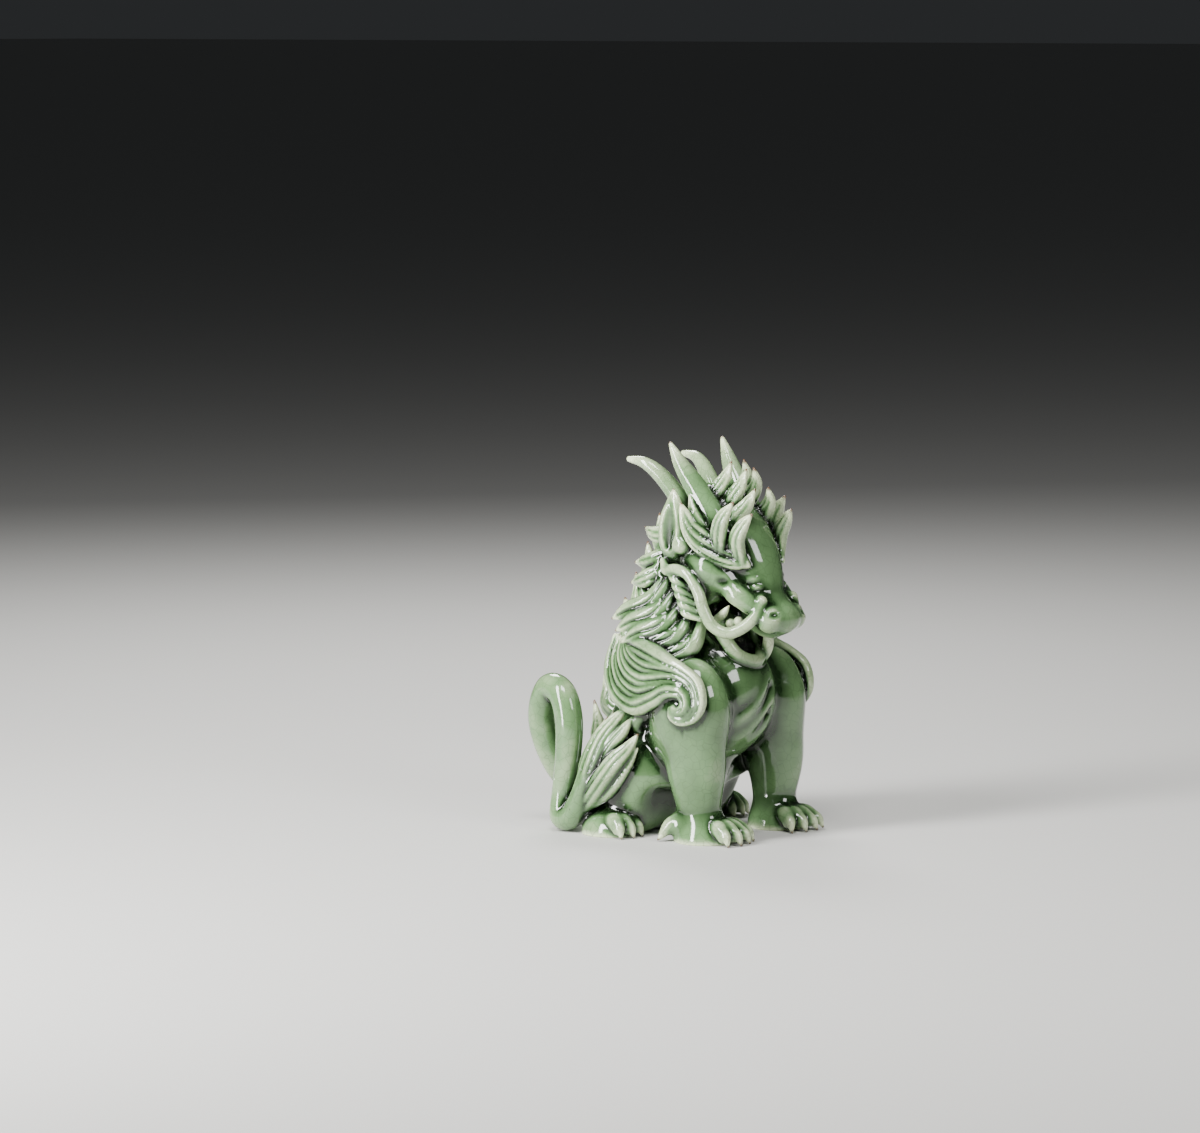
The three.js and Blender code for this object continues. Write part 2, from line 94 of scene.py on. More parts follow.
class Facing(Enum):
    """The thin direction of an oval section."""

    SIDE = (-1.0, 0.0, 0.0)
    FRONT = (0.0, -1.0, 0.0)
    UP = (0.0, 0.0, 1.0)


def smooth_points(points: Sequence[Triple], samples: int) -> np.ndarray:
    """Samples a smooth curve through a few points.

    A Catmull-Rom spline: between two points, a cubic whose ends have the slope of the chord between the
    neighbours on either side. The ends repeat their own chord.

    Args:
        points: The points that the curve passes through, or any rows of values.
        samples: How many places, evenly spread in the points' own numbering.

    Returns:
        An array with one row for each place.
    """
    knots = np.asarray(points, dtype=float)
    padded = np.vstack([2 * knots[0] - knots[1], knots, 2 * knots[-1] - knots[-2]])
    place = np.linspace(0, len(knots) - 1, samples)
    span = np.minimum(place.astype(int), len(knots) - 2)
    part = (place - span)[:, None]
    before, start, end, after = (padded[span + shift] for shift in range(4))
    return 0.5 * (
        2 * start
        + (end - before) * part
        + (2 * before - 5 * start + 4 * end - after) * part**2
        + (3 * start - before - 3 * end + after) * part**3
    )


def point_on(edge: Sequence[Triple], place: float) -> Triple:
    """Gives a point on the smooth curve through an edge's points.

    Args:
        edge: The edge's points, or any rows of values.
        place: Where, from 0 at the first point to 1 at the last.

    Returns:
        The point.
    """
    curve = smooth_points(edge, CURVE_STEPS + 1)
    return tuple(curve[round(place * CURVE_STEPS)])


def between(first: Sequence[Triple], second: Sequence[Triple], share: float) -> list[Triple]:
    """Gives the path that runs a share of the way from a first path to a second.

    Args:
        first: The first path.
        second: The second, with as many points.
        share: The share of the way, from 0 to 1.

    Returns:
        The path's points.
    """
    start = np.asarray(first, dtype=float)
    return [tuple(row) for row in start + share * (np.asarray(second, dtype=float) - start)]


def oval_distance(parts: Sequence[np.ndarray], halves: Sequence[np.ndarray | float]) -> np.ndarray:
    """Gives the distance to an oval, near enough close to its surface.

    With k0 the length of the offset divided by the half sizes, and k1 the length of the offset divided
    by their squares, the distance is k0 (k0 - 1) / k1.

    Args:
        parts: The offset from the middle along each of the oval's own directions.
        halves: The half sizes in those directions.

    Returns:
        The distance, negative inside.
    """
    first = np.sqrt(sum((part / half) ** 2 for part, half in zip(parts, halves)))
    second = np.sqrt(sum((part / half**2) ** 2 for part, half in zip(parts, halves)))
    smallest = np.minimum(halves[0], halves[1])
    return (first - 1) * np.where(second > TINY, first / np.maximum(second, TINY), smallest)


@dataclass(frozen=True)
class Ball:
    """An oval ball."""

    centre: Triple
    halves: Triple

    def mirrored(self) -> Ball:
        """Gives the same ball on the beast's other side."""
        return Ball((-self.centre[0], self.centre[1], self.centre[2]), self.halves)

    def pressed_into(self, clay: Clay, fillet: Fillet, cut: bool = False) -> None:
        """Joins the ball to the clay, or cuts it out.

        Args:
            clay: The clay.
            fillet: How far the two melt together.
            cut: True to cut the ball out.
        """
        reach = np.asarray(self.halves)
        window = clay.window(self.centre - reach, self.centre + reach, fillet)
        parts = [axis - middle for axis, middle in zip(clay.axes_in(window), self.centre)]
        clay.merge(window, oval_distance(parts, self.halves), fillet, cut)


@dataclass(frozen=True)
class Stroke:
    """An oval section carried along a smooth path, with grooves that part it into strands.

    The section's wide direction lies across the path and its thin direction faces outwards. A groove
    deepens the surface by depth * max(0, cos(pi * strands * (s + 1)))^2, where s runs from -1 to 1 over
    the width, and fades out where the stroke is thin.
    """

    path: Sequence[Triple]
    radii: Sequence[float]
    flatness: float = 0.85
    facing: Facing | Triple = Facing.SIDE
    strands: int = 1
    groove: float = 0.45
    pieces: int = 5

    def outwards(self) -> Triple:
        """Gives the section's thin direction."""
        return self.facing.value if isinstance(self.facing, Facing) else self.facing

    def mirrored(self) -> Stroke:
        """Gives the same stroke on the beast's other side."""
        out = self.outwards()
        path = [(-x, y, z) for x, y, z in self.path]
        return replace(self, path=path, facing=(-out[0], out[1], out[2]))

    def along(self, path: Sequence[Triple]) -> Stroke:
        """Gives the same stroke along another path."""
        return replace(self, path=path)

    def moved(self, step: Sequence[float]) -> Stroke:
        """Gives the same stroke moved by a step."""
        return replace(self, path=[tuple(np.add(point, step)) for point in self.path])

    def pressed_into(self, clay: Clay, fillet: Fillet, cut: bool = False) -> None:
        """Joins the stroke to the clay, or cuts it out, worked out one short piece at a time.

        Args:
            clay: The clay.
            fillet: How far the two melt together.
            cut: True to cut the stroke out.
        """
        count = (len(self.path) - 1) * self.pieces + 1
        curve = smooth_points(self.path, count)
        floor = min(self.radii)
        radii = np.maximum(smooth_points([(radius,) for radius in self.radii], count)[:, 0], floor)
        widest = radii.max()
        window = clay.window(curve.min(axis=0) - widest, curve.max(axis=0) + widest, fillet)
        distance = np.full(clay.shape_of(window), clay.far, dtype=np.float32)
        for start, end, first, second in zip(curve[:-1], curve[1:], radii[:-1], radii[1:]):
            widest = max(first, second)
            near = clay.window(np.minimum(start, end) - widest, np.maximum(start, end) + widest, fillet)
            inner = tuple(slice(n.start - w.start, n.stop - w.start) for n, w in zip(near, window))
            piece = self.piece_distance(clay.axes_in(near), start, end, first, second)
            distance[inner] = np.minimum(distance[inner], piece)
        clay.merge(window, distance, fillet, cut)

    def piece_distance(
        self, axes: Sequence[np.ndarray], start: np.ndarray, end: np.ndarray, first: float, second: float
    ) -> np.ndarray:
        """Gives the distance to one straight piece of the stroke.

        Args:
            axes: The grid's coordinates, ready to broadcast.
            start: Where the piece starts.
            end: Where it ends.
            first: The half width at its start.
            second: The half width at its end.

        Returns:
            The distance, negative inside.
        """
        chord = end - start
        length = np.linalg.norm(chord)
        along = chord / length
        out = np.asarray(self.outwards(), dtype=float)
        thin = out - along * np.dot(along, out)
        thin /= np.linalg.norm(thin)
        wide = np.cross(thin, along)
        offset = [axis - origin for axis, origin in zip(axes, start)]
        run = sum(part * step for part, step in zip(offset, along))
        place = np.clip(run / length, 0, 1)
        width = first + place * (second - first)
        across = sum(part * step for part, step in zip(offset, wide))
        proud = sum(part * step for part, step in zip(offset, thin))
        beyond = run - place * length
        distance = oval_distance([across, proud, beyond], [width, width * self.flatness, width])
        if self.strands > 1:
            wave = np.cos(np.pi * self.strands * (np.clip(across / width, -1, 1) + 1))
            depth = self.groove * np.clip(width - NARROWEST_GROOVED, 0, 1)
            distance = distance + depth * np.maximum(wave, 0) ** 2
        return distance


Form = Ball | Stroke


def both_sides(forms: Sequence[Form]) -> list[Form]:
    """Gives the forms and their mirrored twins."""
    return [twin for form in forms for twin in (form, form.mirrored())]


class Clay:
    """The joined distance on one grid, to which forms are added and from which they are cut.

    far is the distance that empty space starts with. spare_cells is how many cells are worked out around
    each form, slides how often the skin's points slide onto the surface, least_steepness what keeps them
    from leaping where the distance is nearly level, and bell_reach how many deviations a blur covers.
    """

    far: float = 12.0
    spare_cells: int = 3
    slides: int = 3
    least_steepness: float = 0.05
    bell_reach: float = 2.5

    def __init__(self, low: Triple, high: Triple, step: float) -> None:
        """Starts an empty block.

        Args:
            low: The block's lowest corner in millimetres.
            high: Its highest corner.
            step: The grid's spacing.
        """
        self.low = np.asarray(low, dtype=float)
        self.step = step
        counts = np.ceil((np.asarray(high) - self.low) / step).astype(int) + 1
        self.axes = [self.low[axis] + step * np.arange(counts[axis]) for axis in range(3)]
        self.values = np.full(counts, self.far, dtype=np.float32)

    def window(self, low: np.ndarray, high: np.ndarray, fillet: Fillet) -> tuple[slice, ...]:
        """Gives the slices of the grid that a form and its fillet can reach.

        Args:
            low: The form's lowest corner in millimetres.
            high: Its highest corner.
            fillet: How far it melts into the clay.

        Returns:
            One slice for each axis.
        """
        margin = fillet.value + self.spare_cells * self.step
        first = np.floor((low - margin - self.low) / self.step).astype(int)
        last = np.ceil((high + margin - self.low) / self.step).astype(int) + 1
        first = np.clip(first, 0, self.values.shape)
        last = np.clip(last, first, self.values.shape)
        return tuple(slice(begin, stop) for begin, stop in zip(first, last))

    def shape_of(self, window: tuple[slice, ...]) -> tuple[int, ...]:
        """Gives the size of a window in grid points."""
        return tuple(span.stop - span.start for span in window)

    def axes_in(self, window: tuple[slice, ...]) -> list[np.ndarray]:
        """Gives the window's coordinates along X, Y and Z, ready to broadcast."""
        x, y, z = (self.axes[axis][window[axis]].astype(np.float32) for axis in range(3))
        return [x[:, None, None], y[None, :, None], z[None, None, :]]

    def merge(self, window: tuple[slice, ...], distance: np.ndarray, fillet: Fillet, cut: bool) -> None:
        """Joins a form's distance to the clay, or cuts it out.

        The join is min(a, b) - k h^2 / 4 with h = max(k - |a - b|, 0) / k, which rounds the inner edge
        over the fillet k, and a cut is the same with the signs turned.

        Args:
            window: Where the form lies in the grid.
            distance: The form's distance there.
            fillet: How far the two melt together.
            cut: True to cut the form out.
        """
        clay = self.values[window]
        sign = -1 if cut else 1
        start = sign * clay
        blend = np.maximum(fillet.value - np.abs(start - distance), 0) / fillet.value
        self.values[window] = sign * (np.minimum(start, distance) - blend**2 * fillet.value / 4)

    def add(self, forms: Sequence[Form], fillet: Fillet) -> None:
        """Joins forms to the clay in order."""
        for form in forms:
            form.pressed_into(self, fillet)

    def cut(self, forms: Sequence[Form], fillet: Fillet) -> None:
        """Cuts forms out of the clay in order."""
        for form in forms:
            form.pressed_into(self, fillet, cut=True)

    def stand_on_floor(self) -> None:
        """Cuts the clay flat at the level it stands on."""
        self.values = np.maximum(self.values, -self.axes[2].astype(np.float32)[None, None, :])

    def read(self, values: np.ndarray, points: np.ndarray) -> np.ndarray:
        """Reads a grid of values at points, mixing the eight nearest by distance.

        Args:
            values: One value for each grid point.
            points: Points in millimetres, one a row.

        Returns:
            One value for each point.
        """
        limit = np.asarray(values.shape) - 2
        place = (points - self.low) / self.step
        cell = np.clip(place.astype(int), 0, limit)
        part = np.clip(place - cell, 0, 1)
        total = np.zeros(len(points))
        for corner in np.ndindex(2, 2, 2):
            share = np.prod(np.where(corner, part, 1 - part), axis=1)
            total += share * values[tuple((cell + corner).T)]
        return total

    def skin(self) -> tuple[np.ndarray, np.ndarray]:
        """Draws the surface where the distance is nought.

        Each grid cell that the surface passes through gets one point, the mean of the places where the
        surface crosses the cell's edges, and each grid edge that it crosses gets the four-sided face
        between the four cells around it. The points then slide along the slope of the distance onto the
        surface itself.

        Returns:
            The points in millimetres and the faces.
        """
        inside = self.values < 0
        # A cell's eight corners are the grid moved by nought or one cell along each axis
        corners = [inside[tuple(slice(c, c - 1 or None) for c in corner)] for corner in np.ndindex(2, 2, 2)]
        count = sum(corner.astype(np.int8) for corner in corners)
        cells = np.argwhere((count > 0) & (count < 8))
        number = np.full(count.shape, -1, dtype=np.int32)
        number[tuple(cells.T)] = np.arange(len(cells))
        points = self.low + self.step * self.crossing_means(cells)
        faces = self.crossed_edge_faces(inside, number)
        for _ in range(self.slides):
            points = self.slide_onto_surface(points)
        return points, faces

    def crossing_means(self, cells: np.ndarray) -> np.ndarray:
        """Gives the mean of the surface's crossings with each cell's twelve edges.

        Args:
            cells: The lowest corner of each cell that the surface passes through, in grid steps.

        Returns:
            One point for each cell, in grid steps.
        """
        total = np.zeros((len(cells), 3))
        hits = np.zeros(len(cells))
        for axis in range(3):
            for side in np.ndindex(2, 2):
                start = np.insert(np.asarray(side), axis, 0)
                ahead = np.eye(3, dtype=int)[axis]
                first = self.values[tuple((cells + start).T)].astype(float)
                second = self.values[tuple((cells + start + ahead).T)].astype(float)
                crossed = (first < 0) != (second < 0)
                share = np.where(crossed, first / np.where(crossed, first - second, 1), 0)
                place = cells + start + share[:, None] * ahead
                total += np.where(crossed[:, None], place, 0)
                hits += crossed
        return total / hits[:, None]

    def crossed_edge_faces(self, inside: np.ndarray, number: np.ndarray) -> np.ndarray:
        """Gives the four-sided faces around the grid edges that the surface crosses.

        Args:
            inside: True at each grid point inside the clay.
            number: The number of each cell's point.

        Returns:
            One row of four point numbers for each face.
        """
        faces = []
        for axis in range(3):
            across, up = (axis + 1) % 3, (axis + 2) % 3
            whole = tuple(slice(None, -1) if a == axis else slice(None) for a in range(3))
            moved = tuple(slice(1, None) if a == axis else slice(None) for a in range(3))
            for leaving in (True, False):
                edges = np.argwhere((inside[whole] == leaving) & (inside[moved] != leaving))
                edges = edges[(edges[:, across] > 0) & (edges[:, up] > 0)]
                ring = []
                for back_across, back_up in ((0, 0), (1, 0), (1, 1), (0, 1)):
                    shift = np.zeros(3, dtype=int)
                    shift[across] = back_across
                    shift[up] = back_up
                    ring.append(number[tuple((edges - shift).T)])
                quads = np.stack(ring if leaving else ring[::-1], axis=1)
                faces.append(quads)
        return np.vstack(faces)

    def slide_onto_surface(self, points: np.ndarray) -> np.ndarray:
        """Moves points down the slope of the distance by the distance itself, at most half a step.

        Args:
            points: Points in millimetres, one a row.

        Returns:
            The moved points.
        """
        nudge = 0.5 * self.step
        rises = []
        for unit in np.eye(3):
            ahead = self.read(self.values, points + nudge * unit)
            behind = self.read(self.values, points - nudge * unit)
            rises.append((ahead - behind) / (2 * nudge))
        slope = np.stack(rises, axis=1)
        steepness = np.maximum((slope**2).sum(axis=1, keepdims=True), self.least_steepness)
        move = -self.read(self.values, points)[:, None] * slope / steepness
        return points + np.clip(move, -nudge, nudge)

    def fullness(self, points: np.ndarray, spread: float) -> np.ndarray:
        """Gives how much clay lies around each point, which sets how the glaze flows and where shade is
        painted.

        The clay's filled share is blurred with a bell curve of the given spread. A point on a flat face
        reads 0.5, one in a hollow more and one on a ridge less.

        Args:
            points: Points in millimetres.
            spread: The bell curve's standard deviation in millimetres.

        Returns:
            One share for each point.
        """
        filled = np.clip(0.5 - self.values / self.step, 0, 1)
        reach = int(np.ceil(self.bell_reach * spread / self.step))
        offsets = np.arange(-reach, reach + 1)
        weights = np.exp(-0.5 * (offsets * self.step / spread) ** 2)
        weights = (weights / weights.sum()).astype(np.float32)
        for axis in range(3):
            padded = np.pad(filled, [(reach, reach) if a == axis else (0, 0) for a in range(3)])
            size = filled.shape[axis]
            filled = sum(
                weight * np.take(padded, range(start, start + size), axis=axis)
                for start, weight in enumerate(weights)
            )
        return self.read(filled, points)


@dataclass
class Trunk:
    """Chest, barrel, rump, shoulders, haunches and neck, with the hollows beneath."""

    chest: Ball = Ball((0, -3, 41), (17.5, 16, 18.5))
    barrel: Ball = Ball((0, 11, 35), (18.5, 19, 21.5))
    rump: Ball = Ball((0, 19.5, 18), (19, 20.5, 21))
    shoulder: Ball = Ball((-18.5, -7, 39), (8.5, 11.5, 15))
    haunch: Ball = Ball((-15.5, 17, 17), (11.5, 16.5, 17.5))
    neck: Stroke = Stroke([(0, 9, 47), (0, 9, 60), (0, 6, 74), (0, 0, 90)], [15.5, 14, 12.5, 9], 1.0)
    belly_hollow: Ball = Ball((0, -10, -2), (9, 17, 17))
    side_hollow: Ball = Ball((-20, 3.5, 2), (14, 5.4, 12.4))
    folds: int = 3
    fold: Stroke = Stroke(
        [(-8, -17.6, 38), (-1.5, -20.6, 43), (6, -19.4, 51)], [0.3, 0.45, 0.3], 1.0, Facing.FRONT
    )
    fold_step: Triple = (0, 1.6, -7.5)

    def model(self, clay: Clay) -> None:
        """Presses the trunk together and hollows it beneath.

        Args:
            clay: The clay.
        """
        clay.add([self.barrel, self.chest, self.rump], Fillet.BODY)
        clay.add([self.neck], Fillet.BODY)
        clay.add(both_sides([self.shoulder, self.haunch]), Fillet.LIMB)
        clay.cut([self.belly_hollow], Fillet.LIMB)
        clay.cut(both_sides([self.side_hollow]), Fillet.LIMB)

    def crease(self, clay: Clay) -> None:
        """Draws the slack diagonal folds of the belly with a round tool."""
        for index in range(self.folds):
            clay.cut([self.fold.moved(index * np.asarray(self.fold_step))], Fillet.LIMB)


@dataclass
class Paw:
    """A round paw with toes that fan out over the ball of the foot and end in claws.

    Each line holds pairs: a share of the reach from the paw's middle, and a height.
    """

    centre: tuple[float, float]
    reach: float
    angles: Sequence[float]
    ball: Triple
    ball_height: float = 0.6
    toe_line: Sequence[tuple[float, float]] = ((0.2, 4.6), (0.6, 4.6), (0.8, 2.76))
    toe_radii: Sequence[float] = (2.295, 2.565, 1.89)
    claw_line: Sequence[tuple[float, float]] = ((0.72, 4.14), (0.9, 3.036), (1.02, 0.3))
    claw_radii: Sequence[float] = (1.7, 1.445, 0.34)

    def toe_point(self, angle: float, share: float, height: float) -> Triple:
        """Gives a point over a toe.

        Args:
            angle: The toe's direction in degrees, 0 straight ahead.
            share: How far out, as a share of the paw's reach.
            height: The height in millimetres.

        Returns:
            The point.
        """
        turn = np.radians(angle)
        x, y = self.centre
        return (x + share * self.reach * np.sin(turn), y - share * self.reach * np.cos(turn), height)

    def model(self, clay: Clay) -> None:
        """Presses the ball of the paw, then its toes and claws, on both sides.

        Args:
            clay: The clay.
        """
        clay.add(both_sides([Ball((*self.centre, self.ball_height), self.ball)]), Fillet.LIMB)
        for angle in self.angles:
            for line, radii in ((self.toe_line, self.toe_radii), (self.claw_line, self.claw_radii)):
                path = [self.toe_point(angle, share, height) for share, height in line]
                clay.add(both_sides([Stroke(path, radii, 1.0, Facing.UP)]), Fillet.LOCK)


@dataclass
class Legs:
    """Stout front legs, front and hind paws, and the spur behind each front leg."""

    leg: Stroke = Stroke(
        [(-18.4, -6.5, 38), (-19, -9, 22), (-18.3, -9.5, 9), (-18, -10.5, -2)],
        [10.8, 9.2, 6.8, 8], 0.84, pieces=14,
    )
    elbow: Ball = Ball((-18, -1, 33), (7, 8.2, 10))
    spur: Stroke = Stroke([(-20, -6, 5), (-23.5, -3, 4.5), (-26.3, -0.6, 0.6)], [4.2, 2.4, 0.4], 1.0)
    front_paw: Paw = field(
        default_factory=lambda: Paw((-17.3, -11.5), 13.6, (-25, -5, 15, 35), (8.2, 8.6, 7.2))
    )
    hind_paw: Paw = field(default_factory=lambda: Paw((-25, 19.5), 11.2, (-30, -8, 14), (6.2, 8.4, 7.0)))

    def model(self, clay: Clay) -> None:
        """Presses the legs on, then the paws and spurs.

        Args:
            clay: The clay.
        """
        clay.add(both_sides([self.leg, self.elbow]), Fillet.LIMB)
        self.front_paw.model(clay)
        self.hind_paw.model(clay)
        clay.add(both_sides([self.spur]), Fillet.FEATURE)


@dataclass
class Tail:
    """The smooth thick tail that stands in a loop, and the flame tuft that lies up along the haunch."""

    loop: Stroke = Stroke(
        [
            (0, 33, 9), (-9, 40, 9.6), (-16, 44, 15.5), (-20, 46.8, 25), (-22, 47, 34),
            (-23.6, 42.6, 41.6), (-24.8, 36.8, 40.4), (-25.6, 33.6, 33), (-26, 33.6, 22),
            (-26.5, 35, 11.4), (-27.4, 34.6, 4.6), (-28, 30.5, 5), (-28, 26.5, 10.5),
            (-27.5, 23.5, 17), (-26.5, 21, 23),
        ],
        [5, 4.4, 4.1, 4.1, 4.1, 4.1, 4.2, 4.2, 3.9, 3.5, 3.9, 3.8, 3.9, 4.0, 1.8], 1.0, pieces=8,
    )
    tuft: Sequence[Stroke] = (
        Stroke(
            [(-27.6, 27, 10), (-28, 25, 20), (-26, 22.6, 28), (-23.6, 20.6, 34.4)],
            [2, 2.7, 2.2, 0.4], 0.75, strands=2,
        ),
        Stroke(
            [(-27.8, 26, 11), (-27.6, 17.6, 25), (-25.4, 13.6, 31), (-22.6, 11.8, 35.2)],
            [2, 2.7, 2.1, 0.4], 0.75, strands=2,
        ),
        Stroke(
            [(-28, 25, 8), (-28, 17, 14), (-27, 11.5, 20.5), (-25.6, 7.6, 26.6)],
            [2, 2.9, 2.2, 0.4], 0.75, strands=3,
        ),
        Stroke(
            [
                (-27.8, 26.8, 8), (-28.8, 23.9, 17), (-27.6, 20.1, 27.6), (-25.6, 16.6, 33.8),
                (-23, 13.4, 38.4),
            ],
            [2.8, 3.5, 3.2, 2.2, 0.4], 0.8, strands=3,
        ),
        Stroke(
            [(-28, 26, 8), (-29.2, 20.6, 13.7), (-29, 13.9, 22.1), (-27.2, 10.1, 26.6), (-24.6, 8.2, 30.8)],
            [2.6, 3.4, 3.1, 2.1, 0.4], 0.8, strands=3,
        ),
    )

    def model(self, clay: Clay) -> None:
        """Presses the tail on and lays the tuft's locks from its end, each bent like a flame."""
        clay.add([self.loop], Fillet.SOFT)
        clay.add(self.tuft, Fillet.CRISP)


@dataclass
class Head:
    """The bowed skull, muzzle, eyes, mouth and lower jaw."""

    skull: Stroke = Stroke(
        [(0, 3, 98), (0, -5, 91), (0, -12.5, 81), (0, -18, 71), (0, -21.5, 64)],
        [5.5, 10.5, 10.2, 7, 5], 1.0, pieces=14,
    )
    muzzle: Ball = Ball((0, -21, 66.5), (8, 7.2, 6.6))
    cheek: Ball = Ball((-9.5, -3.5, 76), (5.8, 8.8, 9.3))
    eyeball: Stroke = Stroke([(-11.6, -4, 82.6), (-12.2, -8, 80), (-11, -12, 77)], [3, 4, 3], 1.0)
    tear_dimple: Ball = Ball((-14.5, -14.9, 76.2), (2.1, 2.1, 1.5))
    upper_lip: Stroke = Stroke([(-9.6, -13, 75.4), (-9.4, -17, 72), (-7.4, -22, 68.6)], [2.2, 3.4, 3], 1.0)
    wrinkles: int = 4
    first_wrinkle: Triple = (-6.2, -18.6, 79.2)
    last_wrinkle: Triple = (-6, -21.8, 72)
    wrinkle: Triple = (1.8, 1.9, 0.9)
    nostril: Ball = Ball((-5.6, -25.6, 65.2), (3.9, 3.9, 4))
    nose_tip: Ball = Ball((0, -26.5, 65.2), (6, 4.4, 4.4))
    nostril_pit: Ball = Ball((-8, -29, 67), (2.4, 1.5, 1))
    jaw: Ball = Ball((0, -6, 60), (8.2, 8.4, 9))
    mouth: Ball = Ball((0, -14, 58.2), (5, 8, 5.4))
    mouth_corner: Ball = Ball((-10, -12.6, 66.4), (4.6, 6, 3.6))
    lip: Stroke = Stroke(
        [
            (-9, -5, 65.4), (-7.8, -10.2, 59.4), (-5.6, -13.8, 54), (0, -15.8, 51.8),
            (5.6, -13.8, 54), (7.8, -10.2, 59.4), (9, -5, 65.4),
        ],
        [1.6, 2, 2.1, 2.1, 2.1, 2, 1.6], 1.0, Facing.FRONT,
    )
    chin_ridge_step: Triple = (0, 2.6, -3.2)
    chin_ridge_radius: float = 1.5
    beard_strands: int = 4
    beard_first: Sequence[Triple] = ((4.6, -17.4, 61), (5.4, -16.6, 55.6), (5.4, -14.4, 50.6))
    beard_last: Sequence[Triple] = ((8.6, -14.6, 62), (9.6, -13.4, 57), (8.8, -12.2, 51.4))
    beard_radii: Sequence[float] = (1.3, 1.8, 1.1)
    fang: Stroke = Stroke([(-9, -9.7, 64.6), (-10, -12, 66.4), (-10.2, -14.4, 69)], [1.7, 1.3, 0.3], 1.0)
    teeth: Sequence[Triple] = ((-8.4, -10.5, 63.8), (-8.4, -13.4, 63.6), (-7.8, -16, 64.2))
    tooth_radius: float = 1.5

    def model(self, clay: Clay) -> None:
        """Presses the head on, then opens the mouth and nostrils.

        Args:
            clay: The clay.
        """
        clay.add([self.skull], Fillet.LIMB)
        clay.add([self.muzzle, self.jaw], Fillet.FEATURE)
        clay.add(both_sides([self.cheek]), Fillet.LIMB)
        clay.add(both_sides([self.eyeball]), Fillet.LIMB)
        clay.add(both_sides([self.upper_lip]), Fillet.FEATURE)
        for share in np.linspace(0, 1, self.wrinkles):
            (centre,) = between([self.first_wrinkle], [self.last_wrinkle], share)
            clay.add(both_sides([Ball(centre, self.wrinkle)]), Fillet.SOFT)
        clay.add([self.nose_tip], Fillet.FEATURE)
        clay.add(both_sides([self.nostril]), Fillet.SOFT)
        clay.cut([self.mouth], Fillet.SOFT)
        clay.cut(both_sides([self.mouth_corner, self.nostril_pit, self.tear_dimple]), Fillet.SOFT)
        self.model_lips(clay)

    def model_lips(self, clay: Clay) -> None:
        """Rolls the lower lip and the chin ridge under it, and adds the beard, the fangs and the teeth.

        Args:
            clay: The clay.
        """
        clay.add([self.lip], Fillet.SOFT)
        ridge = self.lip.moved(self.chin_ridge_step)
        clay.add([replace(ridge, radii=[self.chin_ridge_radius] * len(ridge.path))], Fillet.LOCK)
        for share in np.linspace(0, 1, self.beard_strands):
            strand = between(self.beard_first, self.beard_last, share)
            clay.add([Stroke(strand, self.beard_radii)], Fillet.CRISP)
        clay.add(both_sides([self.fang]), Fillet.CRISP)
        for tooth in self.teeth:
            clay.add(both_sides([Ball(tooth, (self.tooth_radius,) * 3)]), Fillet.CRISP)


